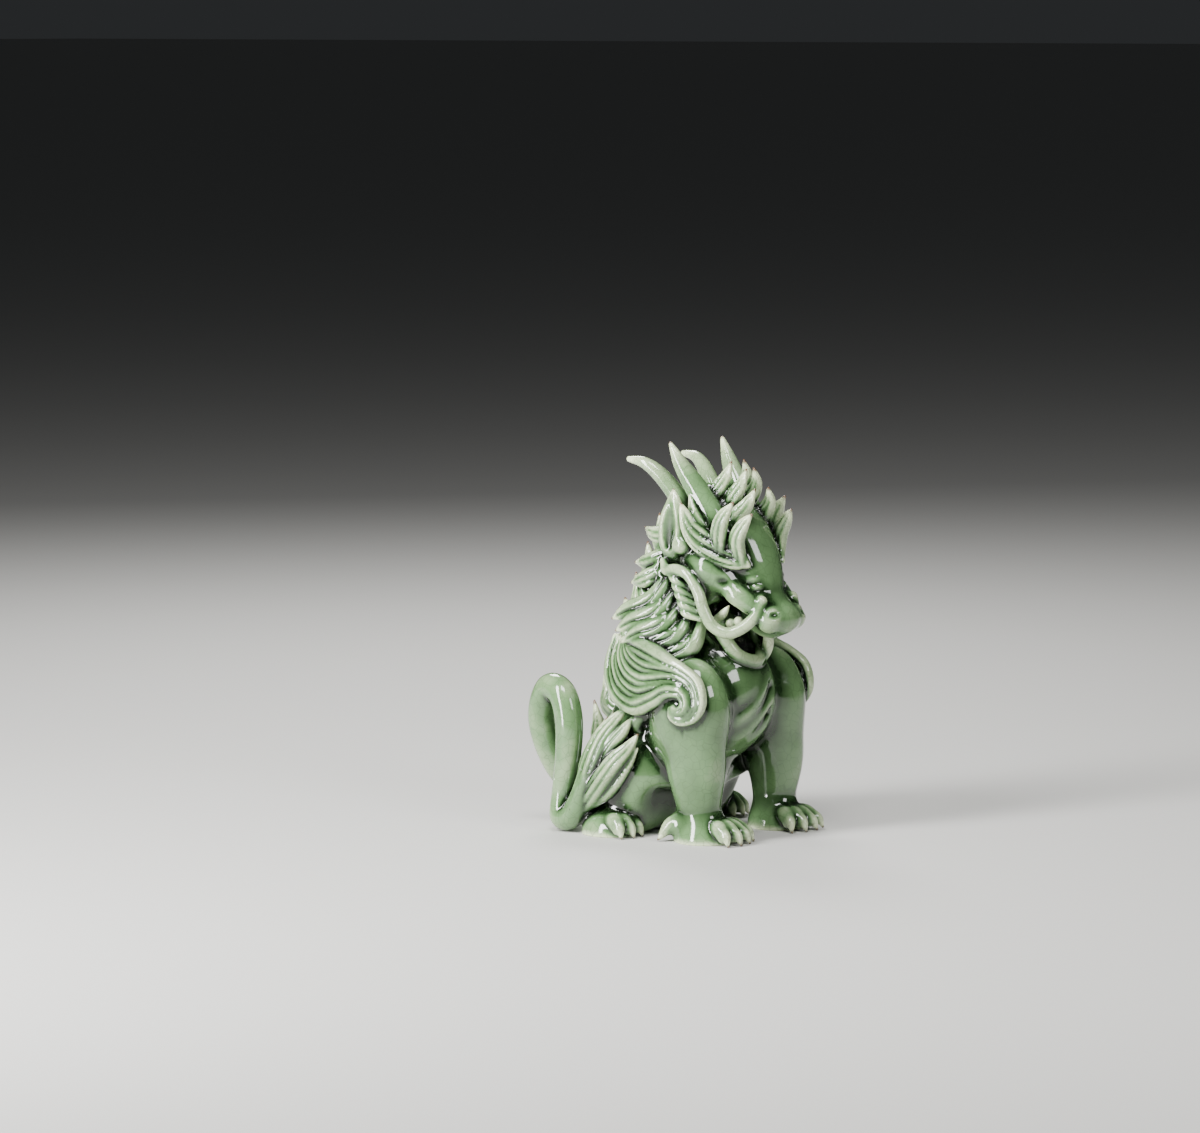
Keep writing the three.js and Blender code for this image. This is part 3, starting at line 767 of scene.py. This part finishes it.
@dataclass
class HeadDress:
    """Horns, ears, whiskers, flaming brows and forelocks."""

    front_horn: Stroke = Stroke(
        [(-8.4, -9.2, 88.4), (-8.8, -6, 96), (-10, -1.5, 103.2), (-11.5, 2.6, 109.6), (-12.4, 5.6, 115.4)],
        [4.6, 4.2, 3.4, 2.3, 0.7], 0.9,
    )
    back_horn: Stroke = Stroke(
        [(-7.6, 2, 94), (-9, 6.1, 100.3), (-11, 11.2, 106.4), (-12.4, 15.6, 109.4), (-13, 20.6, 110.2)],
        [3.4, 2.8, 2.3, 1.7, 0.9], 1.0,
    )
    ear: Stroke = Stroke(
        [(-11.6, 3.6, 79.6), (-14.2, 3.8, 86), (-15, 3.2, 92.5), (-14.8, 2.6, 97.4), (-14.4, 3, 102.3)],
        [2.6, 4.2, 4.2, 2.9, 0.5], 0.6,
    )
    ear_hollow: Stroke = Stroke([(-16.6, 3.4, 86), (-17.8, 2.8, 92), (-16.9, 2.6, 98)], [1.6, 2.8, 0.9], 0.75)
    ear_knob: Ball = Ball((-14.6, -0.4, 86.2), (2.5, 2.7, 2.8))
    whisker: Stroke = Stroke(
        [
            (-7.4, -24, 70.6), (-9.4, -23.2, 66.4), (-11.5, -20.1, 62.9), (-13.5, -16.1, 61.3),
            (-15, -11.8, 63.3), (-15.8, -9.2, 67.9), (-16.1, -7.3, 73.3), (-16.3, -4.1, 77.7),
            (-16.3, 0.3, 79), (-15.8, 4.2, 78.7), (-15.2, 6.2, 81.3),
        ],
        [1.75] * 10 + [1.0], 1.0,
    )
    brow_strands: int = 3
    brow_lower: Sequence[Triple] = (
        (-8.4, -19.6, 81), (-11, -15.8, 81.2), (-13.6, -10.6, 83.3), (-15.2, -5.4, 86.6), (-16.2, -2.5, 91.3),
        (-16.8, -1.2, 97.2),
    )
    brow_upper: Sequence[Triple] = (
        (-8.6, -18.6, 83), (-10.6, -13.6, 86.3), (-13, -8.7, 89.2), (-14.6, -5, 92.1), (-15.6, -3.4, 95.2),
        (-16.6, -1.4, 98.6),
    )
    brow: Stroke = Stroke((), [1.1, 1.6, 1.7, 1.5, 1.2, 0.4], 0.9, strands=2, groove=0.6, pieces=12)
    brow_flames: Sequence[Stroke] = (
        Stroke([(-11.6, -11.6, 83.6), (-12.8, -12.4, 90), (-13.2, -14.2, 95), (-12.5, -17.6, 99.6)],
               [2.4, 2.8, 2.3, 0.4], 0.7, strands=3),
        Stroke([(-9.2, -17.4, 82), (-10.4, -17.1, 87.9), (-10.5, -19.3, 92.5), (-9.5, -22.1, 96.2)],
               [2.4, 2.8, 2.2, 0.4], 0.7, strands=3),
    )
    forelocks: Sequence[Stroke] = (
        Stroke([(-4.4, -10, 90), (-6, -13.8, 94.4), (-5.4, -17.2, 98.4), (-3.2, -18.4, 102.8)],
               [2.6, 3, 2.2, 0.4], 0.7, strands=3),
        Stroke([(-3, -7, 95), (-4.4, -10.8, 99.6), (-3.8, -13.6, 103.8), (-1.8, -14.2, 108.4)],
               [2.6, 2.8, 2, 0.4], 0.7, strands=3),
        Stroke([(-4.4, -3, 97), (-6, -6.4, 101.6), (-5.2, -9, 105.8), (-3, -9.6, 110.4)],
               [2.6, 2.8, 2, 0.4], 0.7, strands=3),
        Stroke([(-11.6, -7.6, 89.6), (-13.4, -4.4, 94.6), (-13, -1.8, 100.6)],
               [2.2, 2.2, 0.4], 0.7, strands=2),
    )

    def model(self, clay: Clay) -> None:
        """Presses on the horns, ears, brows and whiskers.

        Args:
            clay: The clay.
        """
        clay.add(both_sides([self.front_horn, self.back_horn]), Fillet.SOFT)
        clay.add(both_sides([self.ear]), Fillet.SOFT)
        clay.cut(both_sides([self.ear_hollow]), Fillet.LOCK)
        clay.add(both_sides([self.ear_knob]), Fillet.SOFT)
        clay.add(both_sides(self.forelocks), Fillet.LOCK)
        for share in np.linspace(1, 0, self.brow_strands):
            path = between(self.brow_lower, self.brow_upper, share)
            clay.add(both_sides([self.brow.along(path)]), Fillet.CRISP)
        clay.add(both_sides(self.brow_flames), Fillet.CRISP)
        clay.add(both_sides([self.whisker]), Fillet.LOCK)


@dataclass
class Mane:
    """Locks that fan back from the cheek, the pleated frill in front of them, the nape and the crest.

    A stroke without a path of its own is laid along paths worked out from the edges beside it. Each pair
    in back_line says how far a lock stands off the neck, and how far down it hangs there.
    """

    locks: int = 5
    roots: Sequence[Triple] = ((-13, 5.6, 76.4), (-14.5, 1, 68.5), (-11, -4.8, 65))
    bends: Sequence[Triple] = ((-17.8, 8.2, 69.5), (-19.6, 3, 63), (-16.4, -5.2, 57.6))
    trails: Sequence[Triple] = ((-20, 15, 66.4), (-22, 9.5, 60.4), (-20, -1.5, 54.6))
    tips: Sequence[Triple] = ((-20, 21.6, 63.4), (-21.4, 17, 57), (-22, 5.6, 53))
    lock: Stroke = Stroke((), [2.2, 3.5, 3, 0.4], 0.75, strands=2, groove=0.7, pieces=9)
    pleats: int = 5
    pleat_top: Sequence[Triple] = ((-13, 3.6, 78.2), (-16.4, 0.8, 76.2), (-15.2, -4, 73.8))
    pleat_step: Sequence[Triple] = ((0, -0.9, -2.3), (0, -1, -2.4), (0, -0.9, -2.2))
    pleat: Stroke = Stroke((), [0.9, 1.35, 0.8], 1.3)
    nape: Sequence[Stroke] = (
        Stroke([(-8, 6, 88), (-8.6, 14, 88), (-5.4, 20.6, 89.4)], [3, 2.6, 0.4], 0.7, strands=3),
        Stroke([(-10, 6, 83), (-12.4, 12.6, 80.4), (-10.6, 20.4, 79.4)], [3, 3, 0.4], 0.7, strands=3),
        Stroke([(-12, 6, 79), (-14.8, 13, 75.4), (-13.2, 19.8, 73.6)], [3, 2.8, 0.4], 0.7, strands=3),
        Stroke([(-10.4, 10, 66), (-13.2, 14.6, 69.4), (-12, 17.6, 74.4)], [2.6, 2.8, 0.4], 0.7, strands=2),
        Stroke([(-9, 16, 61), (-11.4, 21.4, 63.4), (-10.4, 24.4, 68.6)], [2.6, 2.6, 0.4], 0.7, strands=2),
    )
    crest_leaves: int = 7
    crest_feet: Sequence[Triple] = ((0, 12, 82), (0, 20, 62), (0, 28, 43), (0, 35, 19))
    crest_tips: Sequence[Triple] = ((0, 19.5, 93), (0, 28.5, 75), (0, 36.4, 54), (0, 44.6, 35))
    crest_bulge: Triple = (0, 3.4, -1.6)
    crest_leaf: Stroke = Stroke((), [3, 3.5, 2, 0.4], 0.8, strands=3)
    spine: Stroke = Stroke(crest_feet, [2, 2.8, 2.8, 2], 1.0, pieces=10)
    back_rows: int = 5
    back_axis: Sequence[Triple] = ((0, 1, 93), (0, 6, 80), (0, 9, 64), (0, 10, 54))
    back_reach: Sequence[float] = (9, 11.5, 13.5, 15)
    back_angles: tuple[float, float] = (34, 84)
    back_line: Sequence[tuple[float, float]] = ((-1, 0), (1.7, 17 / 3), (1.7, 11.9), (3.4, 17))
    back_lock: Stroke = Stroke((), [3.2, 4.2, 3.2, 0.5], 0.8, strands=3, groove=0.6)

    def model(self, clay: Clay) -> None:
        """Presses the locks on from the back of the head forwards, then the crest.

        Args:
            clay: The clay.
        """
        self.model_back(clay)
        clay.add(both_sides(self.nape), Fillet.LOCK)
        self.model_fan(clay)
        self.model_crest(clay)

    def model_fan(self, clay: Clay) -> None:
        """Presses on the locks behind the cheek, then the pleats in front of them.

        Args:
            clay: The clay.
        """
        for place in np.linspace(0, 1, self.locks):
            path = [point_on(edge, place) for edge in (self.roots, self.bends, self.trails, self.tips)]
            clay.add(both_sides([self.lock.along(path)]), Fillet.CRISP)
        for index in range(self.pleats):
            path = np.add(self.pleat_top, index * np.asarray(self.pleat_step))
            clay.add(both_sides([self.pleat.along([tuple(point) for point in path])]), Fillet.CRISP)

    def model_crest(self, clay: Clay) -> None:
        """Presses on the ridge that joins the crest's leaves, then the leaves.

        A leaf bulges out by crest_bulge at a third of its way, and by half as much at two thirds.

        Args:
            clay: The clay.
        """
        clay.add([self.spine], Fillet.SOFT)
        bulge = np.asarray(self.crest_bulge)
        for place in np.linspace(0, 1, self.crest_leaves):
            foot, tip = (np.asarray(point_on(edge, place)) for edge in (self.crest_feet, self.crest_tips))
            low = foot + (tip - foot) / 3 + bulge
            high = foot + (tip - foot) * 2 / 3 + bulge / 2
            path = [tuple(point) for point in (foot, low, high, tip)]
            clay.add([self.crest_leaf.along(path)], Fillet.LOCK)

    def model_back(self, clay: Clay) -> None:
        """Presses on the rows of locks that hang down the back of the head and neck, the lowest row first.

        The middle row is turned by half the angle between two locks, and the others by less.

        Args:
            clay: The clay.
        """
        first, last = self.back_angles
        for place in np.linspace(1, 0, self.back_rows):
            axis = np.asarray(point_on(self.back_axis, place))
            (reach,) = point_on([(value,) for value in self.back_reach], place)
            turn = (1 - abs(1 - 2 * place)) * (last - first) / 2
            for angle in np.radians((first - turn, last - turn)):
                out = np.asarray((-np.sin(angle), np.cos(angle), 0))
                path = [tuple(axis + out * (reach + lift) - (0, 0, drop)) for lift, drop in self.back_line]
                lock = replace(self.back_lock, path=path, facing=tuple(out))
                clay.add(both_sides([lock]), Fillet.CRISP)


@dataclass
class ShoulderScroll:
    """Strands of hair that flow over the shoulder and curl in on themselves.

    Every strand is laid out in side view, where the first number of a pair is y and the second z, and
    stands on the shoulder there.
    """

    strands: int = 5
    lower: Sequence[tuple[float, float]] = (
        (24.4, 57), (23.6, 48.5), (17.7, 42), (8.8, 39.4), (0.5, 42), (-4.4, 44.6),
    )
    upper: Sequence[tuple[float, float]] = (
        (15, 57), (11, 56.6), (7, 56), (3, 55), (-1, 53.8), (-4.8, 52.6),
    )
    spiral_centre: tuple[float, float] = (-8.6, 41.2)
    spiral_radii: tuple[float, float] = (3.8, 10.3)
    spiral_shrink: float = 0.56
    spiral_turns: Sequence[float] = (0, 40, 80, 120, 160, 200, 240)
    strand: Stroke = Stroke(
        (), [1.2, 2.4, 2.8, 2.7, 2.4, 2, 1.7, 1.6, 1.5, 1.4, 1.2, 1, 0.5],
        0.8, strands=2, groove=0.6, pieces=9,
    )
    rim_swell: float = 1.3
    shoulder: Ball = Trunk.shoulder
    cape_reach: float = 26
    proud: float = 1.2
    cape_crown: tuple[float, float] = (-6, 42)
    cape_fall: tuple[float, float] = (0.011, 0.0125)
    elbow_curl: Stroke = Stroke(
        [(-19, 7.6, 36.6), (-21, 10.6, 35), (-21, 11.6, 32), (-20, 9.6, 30.4)], [2, 2.3, 1.9, 0.6], 1.0
    )

    def reach(self, y: float, z: float) -> float:
        """Gives how far out the strands lie at a place in side view.

        It is the shoulder ball's own surface, or the cape of hair behind it, whichever is further out.
        The cape falls off with the square of the distance from its crown.

        Args:
            y: How far back the place is.
            z: How high it is.

        Returns:
            The distance from the middle plane.
        """
        middle, halves = self.shoulder.centre, self.shoulder.halves
        rise = 1 - ((y - middle[1]) / halves[1]) ** 2 - ((z - middle[2]) / halves[2]) ** 2
        ball = -middle[0] + halves[0] * rise**0.5 if rise > 0 else 0
        back, drop = self.cape_crown
        cape = self.cape_reach - self.cape_fall[0] * (y - back) ** 2 - self.cape_fall[1] * (z - drop) ** 2
        return max(ball, cape) + self.proud

    def strand_path(self, share: float) -> list[Triple]:
        """Gives a strand's path: down the flank, then round the spiral, which narrows with each turn.

        Args:
            share: Which strand, from 0 at the inner edge to 1 at the outer.

        Returns:
            The path's points.
        """
        flat = between(self.lower, self.upper, share)
        first, last = self.spiral_radii
        wide = first + share * (last - first)
        y, z = self.spiral_centre
        for turn in self.spiral_turns:
            reach = wide * (1 - self.spiral_shrink * turn / 180)
            angle = np.radians(turn)
            flat.append((y - reach * np.sin(angle), z + reach * np.cos(angle)))
        return [(-self.reach(y, z), y, z) for y, z in flat]

    def model(self, clay: Clay) -> None:
        """Presses the strands on from the inside of the curl outwards.

        Args:
            clay: The clay.
        """
        for share in np.linspace(0, 1, self.strands):
            swell = self.rim_swell if share in (0, 1) else 1
            radii = [swell * radius for radius in self.strand.radii]
            strand = replace(self.strand, path=self.strand_path(share), radii=radii)
            clay.add(both_sides([strand]), Fillet.CRISP)
        clay.add(both_sides([self.elbow_curl]), Fillet.SOFT)


def linear(colour: str, alpha: float = 1.0) -> tuple[float, float, float, float]:
    """Turns an sRGB hex colour such as #8FB996 to the linear values that shaders take.

    Args:
        colour: The colour.
        alpha: How opaque it is.

    Returns:
        Red, green, blue and alpha.
    """
    shares = [int(colour[start : start + 2], 16) / 255 for start in (1, 3, 5)]
    straight = [share / 12.92 if share <= 0.04045 else ((share + 0.055) / 1.055) ** 2.4 for share in shares]
    return (straight[0], straight[1], straight[2], alpha)


def add_node(
    tree: bpy.types.NodeTree, kind: str, inputs: dict | None = None, **settings: object
) -> bpy.types.Node:
    """Adds a shader node.

    Args:
        tree: The node tree.
        kind: The node's Blender type name.
        inputs: For each input by name or number, a value, or an output to link from.
        settings: Properties of the node.

    Returns:
        The node.
    """
    node = tree.nodes.new(kind)
    for name, value in settings.items():
        setattr(node, name, value)
    for name, value in (inputs or {}).items():
        if isinstance(value, bpy.types.NodeSocket):
            tree.links.new(value, node.inputs[name])
        else:
            node.inputs[name].default_value = value
    return node


def set_ramp(node: bpy.types.Node, stops: Sequence[tuple[float, str]]) -> None:
    """Sets a colour ramp's stops.

    Args:
        node: The ramp.
        stops: Each stop's place and sRGB hex colour, in order.
    """
    elements = node.color_ramp.elements
    # A new stop starts halfway, and gets its own place below
    while len(elements) < len(stops):
        elements.new(0.5)
    for element, (place, colour) in zip(elements, stops):
        element.position = place
        element.color = linear(colour)


@dataclass(frozen=True)
class CeladonGlaze:
    """Celadon glaze over grey-brown stoneware, fired to a glossy glass.

    The glaze runs off ridges, where it is thin and pale, and pools deep green in the hollows. Its two darkest
    colours, down to near black, also paint in the shade that falls in hollows and between close forms. At
    sharp tips and on the soles it leaves the brown clay bare. Each of its four colours comes with the
    fullness at which it shows pure. It is crazed with fine hair lines around cells of a real size.
    craze_width is a share of a
    cell: a real line is too fine to show, so it is drawn as wide as it needs to.
    """

    name: str = "celadon_glaze_over_stoneware"
    thin: tuple[float, str] = (0.345, "#D6E3BA")
    body: tuple[float, str] = (0.445, "#658759")
    deep: tuple[float, str] = (0.53, "#1D3318")
    pooled_and_shaded: tuple[float, str] = (0.61, "#050B04")
    craze: str = "#3C5634"
    bare_clay: str = "#6E5442"
    roughness: float = 0.1
    refraction: float = 1.5
    coat: float = 0.6
    coat_roughness: float = 0.04
    cloud_mm: float = 100 / 9
    cloud_detail: float = 4.0
    cloud_depth: float = 0.1
    crackle_mm: float = 2.6
    craze_width: float = 0.05
    craze_strength: float = 0.4

    def laid_over(
        self, tree: bpy.types.NodeTree, share: bpy.types.NodeSocket, base: bpy.types.NodeSocket, colour: str
    ) -> bpy.types.NodeSocket:
        """Adds the node that lays a colour over another.

        Args:
            tree: The node tree.
            share: How much of it shows.
            base: The colour underneath.
            colour: The sRGB hex colour on top.

        Returns:
            The mixed colour's output.
        """
        inputs = {"Factor": share, 6: base, 7: linear(colour)}
        return add_node(tree, "ShaderNodeMix", inputs, data_type="RGBA").outputs[2]

    def glaze_colour(self, tree: bpy.types.NodeTree, place: bpy.types.NodeSocket) -> bpy.types.NodeSocket:
        """Adds the nodes that colour the glaze by how thick it lies, and paint shade into the hollows.

        How thick it lies, with the painted shade, is the fullness plus (noise - 0.5) * cloud_depth.

        Args:
            tree: The node tree.
            place: The figure's own coordinates.

        Returns:
            The colour's output.
        """
        fullness = add_node(tree, "ShaderNodeAttribute", attribute_name=GLAZE_AND_SHADE).outputs["Fac"]
        inputs = {"Vector": place, "Scale": 1 / (self.cloud_mm * MM), "Detail": self.cloud_detail}
        cloud = add_node(tree, "ShaderNodeTexNoise", inputs).outputs["Fac"]
        drift = add_node(tree, "ShaderNodeMath", {0: cloud, 1: 0.5}, operation="SUBTRACT").outputs[0]
        inputs = {0: drift, 1: self.cloud_depth, 2: fullness}
        glaze_and_shade = add_node(tree, "ShaderNodeMath", inputs, operation="MULTIPLY_ADD").outputs[0]
        ramp = add_node(tree, "ShaderNodeValToRGB", {"Fac": glaze_and_shade})
        # The two darkest stops paint shade into the hollows, on top of the glaze pooling there
        set_ramp(ramp, (self.thin, self.body, self.deep, self.pooled_and_shaded))
        return ramp.outputs["Color"]

    def craze_lines(self, tree: bpy.types.NodeTree, place: bpy.types.NodeSocket) -> bpy.types.NodeSocket:
        """Adds the nodes that draw the hair lines, strongest on the edge between two cells.

        Args:
            tree: The node tree.
            place: The figure's own coordinates.

        Returns:
            The output of how strongly a line shows.
        """
        inputs = {"Vector": place, "Scale": 1 / (self.crackle_mm * MM)}
        cells = add_node(tree, "ShaderNodeTexVoronoi", inputs, feature="DISTANCE_TO_EDGE")
        inputs = {
            "Value": cells.outputs["Distance"], "From Max": self.craze_width,
            "To Min": self.craze_strength, "To Max": 0.0,
        }
        return add_node(tree, "ShaderNodeMapRange", inputs).outputs[0]

    def material(self) -> bpy.types.Material:
        """Builds the shader nodes.

        Returns:
            The material.
        """
        made = bpy.data.materials.new(self.name)
        made.use_nodes = True
        tree = made.node_tree
        tree.nodes.clear()
        place = add_node(tree, "ShaderNodeTexCoord").outputs["Object"]
        glazed = self.glaze_colour(tree, place)
        crazed = self.laid_over(tree, self.craze_lines(tree, place), glazed, self.craze)
        bare = add_node(tree, "ShaderNodeAttribute", attribute_name=BARE_CLAY).outputs["Fac"]
        inputs = {
            "Base Color": self.laid_over(tree, bare, crazed, self.bare_clay), "Roughness": self.roughness,
            "IOR": self.refraction, "Coat Weight": self.coat, "Coat Roughness": self.coat_roughness,
        }
        gloss = add_node(tree, "ShaderNodeBsdfPrincipled", inputs)
        add_node(tree, "ShaderNodeOutputMaterial", {"Surface": gloss.outputs[0]})
        return made


@dataclass(frozen=True)
class BackdropPaper:
    """Matt grey-white backdrop paper."""

    name: str = "matt_backdrop_paper"
    colour: str = "#C9C8C4"
    roughness: float = 0.9

    def material(self) -> bpy.types.Material:
        """Builds the material.

        Returns:
            The material.
        """
        paper = bpy.data.materials.new(self.name)
        paper.use_nodes = True
        shader = paper.node_tree.nodes["Principled BSDF"]
        shader.inputs["Base Color"].default_value = linear(self.colour)
        shader.inputs["Roughness"].default_value = self.roughness
        return paper


@dataclass
class TeaPet:
    """The whole figure: its sub-assemblies pressed into one body, skinned and glazed."""

    low: Triple = (-34, -34, -1.2)
    high: Triple = (34, 54, 120)
    step: float = 0.42
    quick_step: float = 0.7
    trunk: Trunk = field(default_factory=Trunk)
    legs: Legs = field(default_factory=Legs)
    tail: Tail = field(default_factory=Tail)
    head: Head = field(default_factory=Head)
    head_dress: HeadDress = field(default_factory=HeadDress)
    mane: Mane = field(default_factory=Mane)
    scroll: ShoulderScroll = field(default_factory=ShoulderScroll)
    glaze: CeladonGlaze = CeladonGlaze()
    ridge_spread: float = 0.9
    # The wide blur paints shade into hollows and between close forms, as well as glaze pooling
    hollow_spread: float = 2.6
    hollow_share: float = 0.36
    open_air: float = 0.42
    bare_start: float = 0.2
    bare_fade: float = 0.06

    def pressed(self) -> Clay:
        """Presses every sub-assembly into one block of clay.

        Returns:
            The clay.
        """
        clay = Clay(self.low, self.high, self.step)
        self.trunk.model(clay)
        self.legs.model(clay)
        self.trunk.crease(clay)
        self.head.model(clay)
        self.scroll.model(clay)
        self.mane.model(clay)
        self.head_dress.model(clay)
        self.tail.model(clay)
        clay.stand_on_floor()
        return clay

    def build(self) -> bpy.types.Object:
        """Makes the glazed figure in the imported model's place.

        Returns:
            The figure's object, with its place in its mesh.
        """
        clay = self.pressed()
        points, faces = clay.skin()
        LOG.info("skin: %d points, %d faces", len(points), len(faces))
        cad_low, cad_high = (np.asarray(corner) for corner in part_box(NODE))
        middle = (points.min(axis=0) + points.max(axis=0)) / 2
        shift = (cad_low + cad_high) / 2 - middle * MM
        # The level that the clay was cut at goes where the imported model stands
        shift[2] = cad_low[2]
        mesh = bpy.data.meshes.new(NODE + "_skin")
        mesh.from_pydata((points * MM + shift).tolist(), [], faces.tolist())
        self.mark_glaze_and_shade(mesh, clay, points)
        figure = bpy.data.objects.new(NODE + "_glazed", mesh)
        bpy.context.scene.collection.objects.link(figure)
        self.thin_out(figure)
        figure.data.materials.append(self.glaze.material())
        figure.data.shade_smooth()
        return figure

    def mark_glaze_and_shade(self, mesh: bpy.types.Mesh, clay: Clay, points: np.ndarray) -> None:
        """Writes on each point how thick the glaze lies, with painted shade in the hollows, and how bare the
        clay is.

        The glaze and its painted shade go by the narrow blur, with hollow_share of the way to the wide one,
        which counts as open_air at least, so that free-standing forms don't turn pale. The wide blur darkens
        hollows and the places between close forms as painted shade. The clay starts to show where the narrow
        blur falls under bare_start, and is bare when it is bare_fade lower.

        Args:
            mesh: The figure's mesh.
            clay: The clay that it is the skin of.
            points: The mesh's points in millimetres.
        """
        ridge = clay.fullness(points, self.ridge_spread)
        # The wide blur paints shade where hollows deepen and forms crowd together
        hollow = np.maximum(clay.fullness(points, self.hollow_spread), self.open_air)
        marks = {
            GLAZE_AND_SHADE: ridge + self.hollow_share * (hollow - ridge),
            BARE_CLAY: np.clip((self.bare_start - ridge) / self.bare_fade, 0, 1),
        }
        for name, values in marks.items():
            layer = mesh.attributes.new(name, "FLOAT", "POINT")
            layer.data.foreach_set("value", values.astype(np.float32))

    def thin_out(self, figure: bpy.types.Object) -> None:
        """Merges the smallest faces until the figure keeps under the limit of triangles.

        Args:
            figure: The figure's object, all of whose faces have four sides.
        """
        triangles = 2 * len(figure.data.polygons)
        if triangles <= TRIANGLE_LIMIT:
            return
        thin = figure.modifiers.new("thin_out", "DECIMATE")
        thin.ratio = TRIANGLE_LIMIT / triangles
        graph = bpy.context.evaluated_depsgraph_get()
        mesh = bpy.data.meshes.new_from_object(figure.evaluated_get(graph))
        figure.modifiers.clear()
        figure.data = mesh


@dataclass(frozen=True)
class Softbox:
    """A soft light that faces the figure.

    Its azimuth and elevation are in degrees, and its reach from the figure, width and height in metres.
    """

    name: str
    azimuth: float
    elevation: float
    reach: float
    width: float
    height: float
    watts: float


@dataclass
class Studio:
    """A pale floor, soft lights and the camera at the picture's viewing angle.

    The camera looks at the figure's middle from a distance, and its shift puts the figure where the
    picture has it. The picture shows one millimetre at the figure's middle as pixels_per_mm.
    """

    picture: tuple[int, int] = (1200, 1133)
    azimuth: float = -52.0
    elevation: float = 7.0
    distance: float = 1.5
    pixels_per_mm: float = 3.375
    middle_pixel: tuple[float, float] = (683.7, 631.7)
    figure_middle: Triple = (0.0, 0.0, 0.0585)
    sensor_mm: float = 36.0
    lights: Sequence[Softbox] = (
        Softbox("key_strip", -106, 22, 0.6, 0.12, 0.7, 12),
        Softbox("top_softbox", -60, 62, 0.7, 0.22, 0.22, 3.4),
        Softbox("fill_softbox", -8, 30, 0.8, 0.25, 0.25, 2.2),
        Softbox("rim_softbox", 140, 45, 0.7, 0.25, 0.25, 4),
    )
    paper: BackdropPaper = BackdropPaper()
    floor_reach: float = 30.0
    air_colour: str = "#B9BEC2"
    air_strength: float = 0.05

    def face_figure(self, thing: bpy.types.Object, azimuth: float, elevation: float, reach: float) -> None:
        """Puts a camera or light where it faces the figure.

        Args:
            thing: The camera or light.
            azimuth: Its side in degrees, 0 in front of the figure.
            elevation: Its height in degrees.
            reach: Its distance in metres.
        """
        turn, rise = np.radians((azimuth, elevation))
        away = np.array((np.sin(turn) * np.cos(rise), -np.cos(turn) * np.cos(rise), np.sin(rise)))
        thing.location = np.asarray(self.figure_middle) + away * reach
        thing.rotation_euler = Vector(-away).to_track_quat("-Z", "Y").to_euler()
        bpy.context.scene.collection.objects.link(thing)

    def add_camera(self) -> None:
        """Adds the camera."""
        width, height = self.picture
        lens = bpy.data.cameras.new("camera")
        lens.sensor_width = self.sensor_mm
        lens.lens = self.pixels_per_mm / MM * self.distance / width * self.sensor_mm
        lens.shift_x = (width / 2 - self.middle_pixel[0]) / width
        lens.shift_y = (self.middle_pixel[1] - height / 2) / width
        camera = bpy.data.objects.new("camera", lens)
        self.face_figure(camera, self.azimuth, self.elevation, self.distance)
        bpy.context.scene.camera = camera

    def add_light(self, softbox: Softbox) -> None:
        """Adds a soft light.

        Args:
            softbox: The light's place, size and power.
        """
        lamp = bpy.data.lights.new(softbox.name, "AREA")
        lamp.shape = "RECTANGLE"
        lamp.size = softbox.width
        lamp.size_y = softbox.height
        lamp.energy = softbox.watts
        light = bpy.data.objects.new(softbox.name, lamp)
        self.face_figure(light, softbox.azimuth, softbox.elevation, softbox.reach)

    def add_floor(self) -> None:
        """Adds the pale floor."""
        reach = self.floor_reach
        corners = [(-reach, -reach, 0), (reach, -reach, 0), (reach, reach, 0), (-reach, reach, 0)]
        mesh = bpy.data.meshes.new("floor")
        mesh.from_pydata(corners, [], [(0, 1, 2, 3)])
        mesh.materials.append(self.paper.material())
        floor = bpy.data.objects.new("floor", mesh)
        bpy.context.scene.collection.objects.link(floor)

    def build(self) -> None:
        """Sets up the camera, the floor, the lights and the air's faint light."""
        self.add_camera()
        self.add_floor()
        for softbox in self.lights:
            self.add_light(softbox)
        world = bpy.data.worlds.new("studio_air")
        world.use_nodes = True
        air = world.node_tree.nodes["Background"]
        air.inputs["Color"].default_value = linear(self.air_colour)
        air.inputs["Strength"].default_value = self.air_strength
        bpy.context.scene.world = world


def main() -> None:
    """Builds the studio and the figure, and reports each piece."""
    logging.basicConfig(level=logging.INFO, format="%(name)s: %(message)s")
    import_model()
    Studio().build()
    figure = TeaPet().build()
    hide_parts(NODE)
    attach(figure, "root")
    LOG.info("%s: %d faces", figure.name, len(figure.data.polygons))


if __name__ == "__main__":
    main()
